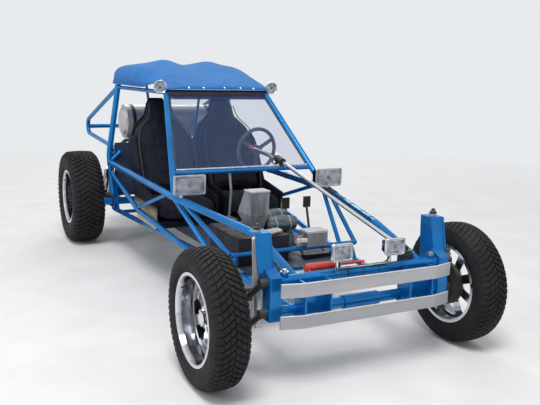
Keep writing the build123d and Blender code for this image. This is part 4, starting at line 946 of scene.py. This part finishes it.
bundle("bundle_foot", (0.02, -0.85, 0.442), (0.11, 0.046, 0.074), pi / 2, 0.4)
bundle("bundle_rear", (-0.012, -0.812, 0.56), (0.088, 0.05, 0.046), 0.1, 1.7)
bundle("bundle_front", (-0.018, -0.925, 0.552), (0.092, 0.044, 0.04), -0.08, 3.1)
bundle("rag", (-0.12, -1.000, 0.526), (0.075, 0.032, 0.014), 0.35, 5.2, CORD_PALE)

# Connectors and their wires on the foot bar, beside the fuse box
for i, (x, z) in enumerate(((-0.005, 0.489), (0.018, 0.4905), (0.037, 0.489))):
    rings = [[Vector((x + sx * half, CONNECTOR_Y + sy * deep, z + dz))
              for sx, sy in ((-1, -1), (1, -1), (1, 1), (-1, 1))]
             for half, deep, dz in ((0.006, 0.007, -0.012), (0.008, 0.009, -0.008), (0.008, 0.009, 0.008),
                                    (0.006, 0.007, 0.012))]
    piece(f"connector_{i}", *loft(rings), CABLE_WHITE, smooth=False)
    step = 0.004 * i
    wire = [(x, CONNECTOR_Y, z + 0.01), (x + 0.004, -1.098, z + 0.02), (x + 0.02, -1.092, z + 0.024 + step),
            (0.04, -1.08, 0.508 + step), (0.052, -1.07, 0.506 + step)]
    tube(f"connector_wire_{i}", wire, 0.0022, CABLE_BLACK if i else CABLE_WHITE, segments=6)


# wiring tied to the tubes
RAIL_REAR = Vector((0.5, 0.905, 0.66))
RAIL_DASH = Vector((0.496, -0.527, 0.65))
RAIL_NOSE = Vector((0.348, -1.297, 0.598))
RAIL_RADIUS = 0.021
HARNESS_SIDE = Vector((-0.7, 0, 0.71))
TAPE_POINTS = 25
TAPE_RIDGE = 0.0011  # height of the turns of tape
BEAM_Y = -1.677
BEAM_TOP = 0.5125
BUMPER_LINE = ((-0.455, -1.7568), (-0.356, -1.7786), (0.356, -1.7786), (0.455, -1.7568))  # x, y
TOWER_X = 0.4
SHOCK_X = 0.486
SHOCK_Y = -1.573


def tie(name, place, axis, radius, cable, cable_radius):
    """Zip tie round a tube and the cable that lies on it. cable is the direction from tube to cable."""
    axis = Vector(axis).normalized()
    cable = (Vector(cable) - axis * Vector(cable).dot(axis)).normalized()
    other = axis.cross(cable)
    loop = []
    for angle in circle(36):
        reach = radius + 0.0009 + 2 * cable_radius * hill(min(angle, 2 * pi - angle), 0.0, 0.34)
        loop.append(Vector(place) + cable * (reach * cos(angle)) + other * (reach * sin(angle)))
    tube(name, loop, 0.0014, CABLE_BLACK, segments=6, closed=True)


def harness(name, tie_name, first, last, shares, tie_shares, out, radius):
    """A cable beside a rail through shares of its length, with zip ties at others."""
    line = [first.lerp(last, share) + HARNESS_SIDE * (RAIL_RADIUS + out) for share in shares]
    tube(name, line, radius, CABLE_BLACK, segments=8)
    for i, share in enumerate(tie_shares):
        tie(f"{tie_name}_{i}", first.lerp(last, share), last - first, RAIL_RADIUS, HARNESS_SIDE, radius)


harness("harness_side", "harness_tie", RAIL_REAR, RAIL_DASH, (0.04, 0.25, 0.5, 0.75, 0.94),
        (0.08, 0.27, 0.46, 0.65, 0.84), 0.004, 0.0042)
harness("harness_nose", "harness_nose_tie", RAIL_DASH, RAIL_NOSE, (0.09, 0.3, 0.6, 0.95),
        (0.4, 0.58, 0.76, 0.92), 0.0035, 0.0036)
tape_line = [RAIL_DASH.lerp(RAIL_NOSE, 0.085 + 0.155 * k / (TAPE_POINTS - 1)) + HARNESS_SIDE * 0.002
             for k in range(TAPE_POINTS)]
tape = tube("rail_tape", tape_line, RAIL_RADIUS + 0.004, TAPE, segments=24)
for vert in tape.data.vertices:
    turn = sin(vert.co.y * 260 + atan2(vert.co.z - 0.645, vert.co.x - 0.47))
    centre = RAIL_DASH + (RAIL_NOSE - RAIL_DASH) * ((vert.co.y - RAIL_DASH.y) / (RAIL_NOSE.y - RAIL_DASH.y))
    vert.co += (vert.co - centre).normalized() * TAPE_RIDGE * turn

# Lamp wires on the beam, with a white one beside the black one
for colour, look, radius, shift in (("black", CABLE_BLACK, 0.0038, 0.0),
                                    ("white", CABLE_WHITE, 0.0022, -0.007)):
    half_line = [(0.136, -1.716, 0.575), (0.132, -1.7 + shift, 0.54),
                 (0.118, -1.688 + shift, BEAM_TOP + 0.006), (0.05, -1.686 + shift, BEAM_TOP + 0.003)]
    line = [(-x, y, z) for x, y, z in half_line] + half_line[::-1]
    tube(f"lamp_wire_{colour}", refine(line, 4), radius, look, segments=8)
for i, x in enumerate((-0.085, 0.0, 0.085)):
    tie(f"beam_tie_{i}", (x, BEAM_Y, 0.487), (1, 0, 0), 0.0255, (0, -0.32, 1), 0.0036)


# trim of the front end
for side, side_name in SIDES:
    # Bolt boss on the beam at the foot of each tower
    turned(f"tower_boss_{side_name}", (side * TOWER_X, BEAM_Y, 0.508), (0, 0, 1),
           [(19, -6), (19, 16), (16, 20), (0, 20)], BLUE_PAINT)
    fasteners(f"tower_bolt_{side_name}", [(side * TOWER_X, BEAM_Y, 0.528)], (0, 0, 1), 20, 10)
    # Weld beads down the tower's edges
    for edge, x, radius in (("inner", 0.4405, 0.0036), ("outer", 0.5115, 0.006)):
        tube(f"tower_bead_{side_name}_{edge}",
             [(side * x, -1.653, 0.53), (side * x, -1.634, 0.6075), (side * x, -1.6155, 0.6885)], radius,
             BLUE_PAINT)
    # Washer, blacked stud and nut on the tower's top
    turned(f"shock_washer_{side_name}", (side * SHOCK_X, SHOCK_Y, 0.7002), (0, 0, 1),
           [(20, -0.2), (20, 3), (9, 3)], BLACK_METAL, 20)
    turned(f"shock_stud_{side_name}", (side * SHOCK_X, SHOCK_Y, 0.7005), (0, 0, 1),
           [(16.5, 0), (16.5, 10), (11, 13), (9.5, 20.5), (5.5, 25.5), (0, 26)],
           BLACK_METAL, 16)

# Painted highlight along the top of each bumper bar: a thin bright tube where the edge catches the light
for bar_name, bar_top in (("upper", 0.5), ("lower", 0.357)):
    line = [(x, y, bar_top - 0.001) for x, y in BUMPER_LINE]
    tube(f"bumper_painted_highlight_{bar_name}", line, 0.002, EDGE_HIGHLIGHT, segments=8)

# Signal switch on the column
tube("signal_stalk", refine([(0.238, -0.338, 0.816), (0.214, -0.292, 0.846), (0.168, -0.24, 0.869),
                             (0.132, -0.214, 0.88)], 4), 0.0055, STEEL)
turned("signal_collar", (0.243, -0.345, 0.805), (-0.11, 0.97, 0.16),
       [(23.5, 0), (23.5, 22), (20, 24)], BLACK_METAL)
turned("signal_knob", (0.136, -0.2155, 0.879), (-0.85, 0.25, 0.18),
       [(0, -1), (9, 2), (13.5, 10), (12.5, 19), (7, 24), (0, 25)], RED_PAINT, 20)


# engine trim
BELT_Y = 1.6935
CRANK_Z = 0.405
GENERATOR_Z = 0.672


def half_turn(radius, z, first, count):
    """Half a turn of the fan belt round a pulley, from a first angle."""
    return [(radius * cos(a), BELT_Y, z + radius * sin(a))
            for a in (first + pi * k / (count - 1) for k in range(count))]


tube("fan_belt", half_turn(0.074, CRANK_Z, pi, 24) + half_turn(0.042, GENERATOR_Z, 0.0, 20), 0.0045,
     CABLE_BLACK, segments=8, closed=True)
turned("distributor", (-0.062, 1.64, 0.56), (0, 0, 1),
       [(19, -4), (19, 30), (28, 36), (29, 52), (22, 64), (0, 66)], BLACK_METAL)
for i, (side, front) in enumerate(((1, False), (1, True), (-1, False), (-1, True))):
    lead = [(-0.062 + side * 0.012, 1.65 if front else 1.662, 0.618)]
    if side > 0:
        lead += [(0.02, 1.668 + 0.008 * i, 0.6), (0.09, 1.662, 0.598)]
    if front:
        lead += [(side * 0.15, 1.62, 0.606), (side * 0.2, 1.575, 0.606), (side * 0.206, 1.546, 0.606)]
    else:
        lead += [(side * 0.17, 1.65, 0.592), (side * 0.27, 1.632, 0.56), (side * 0.305, 1.612, 0.52),
                 (side * 0.308, 1.606, 0.49)]
        turned(f"plug_boot_{i}", (side * 0.308, 1.606, 0.48), (0, 0, 1),
               [(12, 0), (12, 18), (7, 26), (6, 40), (0, 40)], BLACK_METAL, 14)
    tube(f"plug_lead_{i}", refine(lead, 4), 0.0036, CABLE_BLACK, segments=8)
turned("air_cleaner_lid", (0, 1.64, 0.806), (0, 0, 1),
       [(78.6, -25.5), (78.6, 24.8), (70, 27.5), (12, 28.5), (12, 34), (0, 35)],
       CHROME, 48)
for name, z, radius in (("crank", CRANK_Z, 83.5), ("generator", GENERATOR_Z, 51.5)):
    turned(f"{name}_pulley_face", (0, 1.7032, z), (0, 1, 0),
           [(radius, -0.4), (radius, 1.2), (radius * 0.8, 1.2), (radius * 0.74, 0.4), (radius * 0.4, 0.4),
            (radius * 0.34, 6), (0, 6)], STEEL, 48)
    fasteners(f"{name}_pulley_bolt", [(0, 1.709, z)], (0, 1, 0), 24, 10)
for side, side_name in SIDES:
    bail = [(side * x, 1.51, z) for x, z in ((0.366, 0.462), (0.38, 0.46), (0.3915, 0.43), (0.3915, 0.386),
                                             (0.38, 0.352), (0.366, 0.35))]
    tube(f"rocker_bail_{side_name}", refine(bail, 3), 0.0022, STEEL, segments=8)
fuel_line = [(0.15, 1.1, 0.85), (0.165, 1.16, 0.8), (0.2, 1.26, 0.735), (0.226, 1.38, 0.668),
             (0.226, 1.56, 0.668), (0.15, 1.64, 0.69), (0.06, 1.66, 0.716), (0.024, 1.645, 0.724)]
tube("fuel_hose", refine(fuel_line, 4), 0.0055, CABLE_BLACK, segments=8)
for i, y in enumerate((1.41, 1.53)):
    turned(f"hose_clip_{i}", (0.226, y - 0.004, 0.668), (0, 1, 0),
           [(5.6, 0), (7.2, 0), (7.2, 8), (5.6, 8)], STEEL, 14)


# windshield trim
GLASS_TOP = Vector((0.349, 0.056, 1.212))
GLASS_FOOT = Vector((0.4654, -0.4057, 0.7669))
GLASS_RUN = Vector((0, GLASS_TOP.y - GLASS_FOOT.y, GLASS_TOP.z - GLASS_FOOT.z))
GLASS_OUT = Vector((0, -GLASS_RUN.z, GLASS_RUN.y)).normalized()
GLASS_INSET = 0.021
STRIP_COLUMNS = 25
# Share of the pane's height, and distance in front of it
SUN_STRIP_ROWS = [(0.905 + 0.067 * r / 3, 0.0042) for r in range(4)]
WRAP_ROWS = ((0.962, 0.006), (0.975, 0.015), (0.995, 0.0205), (1.02, 0.0215), (1.045, 0.015))


def on_glass(across, share, out):
    """A point on the pane: across from -1 to 1, share of the height, and distance in front."""
    half_width = GLASS_FOOT.x + (GLASS_TOP.x - GLASS_FOOT.x) * share - GLASS_INSET
    foot = Vector((across * half_width, GLASS_FOOT.y, GLASS_FOOT.z))
    return foot + GLASS_RUN * share + GLASS_OUT * out


def glass_strip(name, rows, reach, ripple, thickness, look):
    """A strip across the pane through rows of points, with a ripple along it."""
    verts = [on_glass(reach * (2 * c / (STRIP_COLUMNS - 1) - 1), share, out + ripple * sin(c * 1.9))
             for share, out in rows for c in range(STRIP_COLUMNS)]
    thicken(piece(name, verts, grid_faces(len(rows), STRIP_COLUMNS), look), thickness)


glass_strip("sun_strip", SUN_STRIP_ROWS, 1.0, 0.0, 0.0008, SUN_STRIP)
glass_strip("sun_strip_wrap", WRAP_ROWS, 1.03, 0.0008, 0.0012, VISOR)
for side, side_name in SIDES:
    line = [on_glass(side * 0.995, share, 0.0) for share in (0.03, 0.3, 0.6, 0.9, 0.97)]
    tube(f"glass_seal_{side_name}", line, 0.0052, CABLE_BLACK)
for name, share, out, radius, look in (("glass_trim_foot", 0.03, 0.006, 0.0062, TRIM),
                                       ("glass_seal_top", 0.965, 0.003, 0.005, CABLE_BLACK)):
    tube(name, [on_glass(x, share, out) for x in (-1, -0.5, 0, 0.5, 1)], radius, look)


# stage, lights and camera
BACKDROP = (0.9, 0.92, 0.94, 1)
BACKDROP_STRENGTH = 0.9
FLOOR_HALF = 40
FLOOR_FADE = (2.6, 8.0)  # from here to there the camera sees the floor turn into the backdrop

world = bpy.data.worlds.new("studio")
bpy.context.scene.world = world
world.use_nodes = True
tree = world.node_tree
soft = tree.nodes["Background"]
soft.inputs["Color"].default_value = (0.93, 0.96, 1.0, 1)
soft.inputs["Strength"].default_value = 0.62
rays = node(tree, "LightPath").node.outputs
seen = calculate(tree, "MAXIMUM", rays["Is Camera Ray"], rays["Is Glossy Ray"])
seen = calculate(tree, "MAXIMUM", seen, rays["Is Transmission Ray"])
plain = node(tree, "Background", {"Color": BACKDROP, "Strength": BACKDROP_STRENGTH})
show_mix(tree, "World Output", seen, soft.outputs[0], plain)

floor_mesh = bpy.data.meshes.new("floor")
floor_corners = [(x * FLOOR_HALF, y * FLOOR_HALF, 0) for x, y in ((-1, -1), (1, -1), (1, 1), (-1, 1))]
floor_mesh.from_pydata(floor_corners, [], [(0, 1, 2, 3)])
floor = new_object("floor", floor_mesh)
FLOOR_LOOK = finish("floor_look", (0.7, 0.69, 0.69), (0.76, 0.755, 0.75), 3, (0.85, 0.95), 60, 0.001)
tree = FLOOR_LOOK.node_tree
reach = node(tree, "VectorMath", {0: coordinates(tree)}, out="Value", operation="LENGTH")
seen = node(tree, "LightPath", out="Is Camera Ray")
share = calculate(tree, "MULTIPLY", spread(tree, reach, *FLOOR_FADE), seen)
plain = node(tree, "Emission", {"Color": BACKDROP, "Strength": BACKDROP_STRENGTH})
show_mix(tree, "Material Output", share, tree.nodes["Principled BSDF"].outputs[0], plain)
wear(floor, FLOOR_LOOK)


def area_light(name, place, target, size, watts, colour=(1, 1, 1)):
    """A rectangular soft lamp that looks at a point."""
    data = bpy.data.lights.new(name, "AREA")
    set_all(data, shape="RECTANGLE", size=size[0], size_y=size[1], energy=watts, color=colour)
    facing = (Vector(target) - Vector(place)).to_track_quat("-Z", "Y")
    set_all(new_object(name, data), location=place, rotation_mode="QUATERNION", rotation_quaternion=facing)


area_light("key", (-2.6, -4.6, 8.6), (0, 0, 0.4), (3.4, 3.4), 620, (1.0, 0.98, 0.96))
area_light("fill", (-6.5, -1.0, 3.4), (0, 0, 0.5), (3.5, 2.5), 90, (0.92, 0.96, 1.0))
area_light("back", (3.0, 7.0, 5.0), (0, 0, 0.6), (4.0, 2.5), 150)

CAMERA_PLACE = Vector((-1.77705, -4.1954, 1.39514))
CAMERA_YAW = radians(27.262)  # from +Y towards +X
CAMERA_PITCH = radians(-11.153)
CAMERA_ROLL = radians(1.596)
camera_data = bpy.data.cameras.new("camera")
set_all(camera_data, sensor_width=36.0, lens=46.17)
camera = new_object("camera", camera_data)
facing = Euler((pi / 2 + CAMERA_PITCH, 0, -CAMERA_YAW)).to_matrix().to_4x4()
camera.matrix_world = Matrix.Translation(CAMERA_PLACE) @ facing @ Matrix.Rotation(CAMERA_ROLL, 4, "Z")
bpy.context.scene.camera = camera
bpy.context.scene.view_settings.view_transform = "Standard"
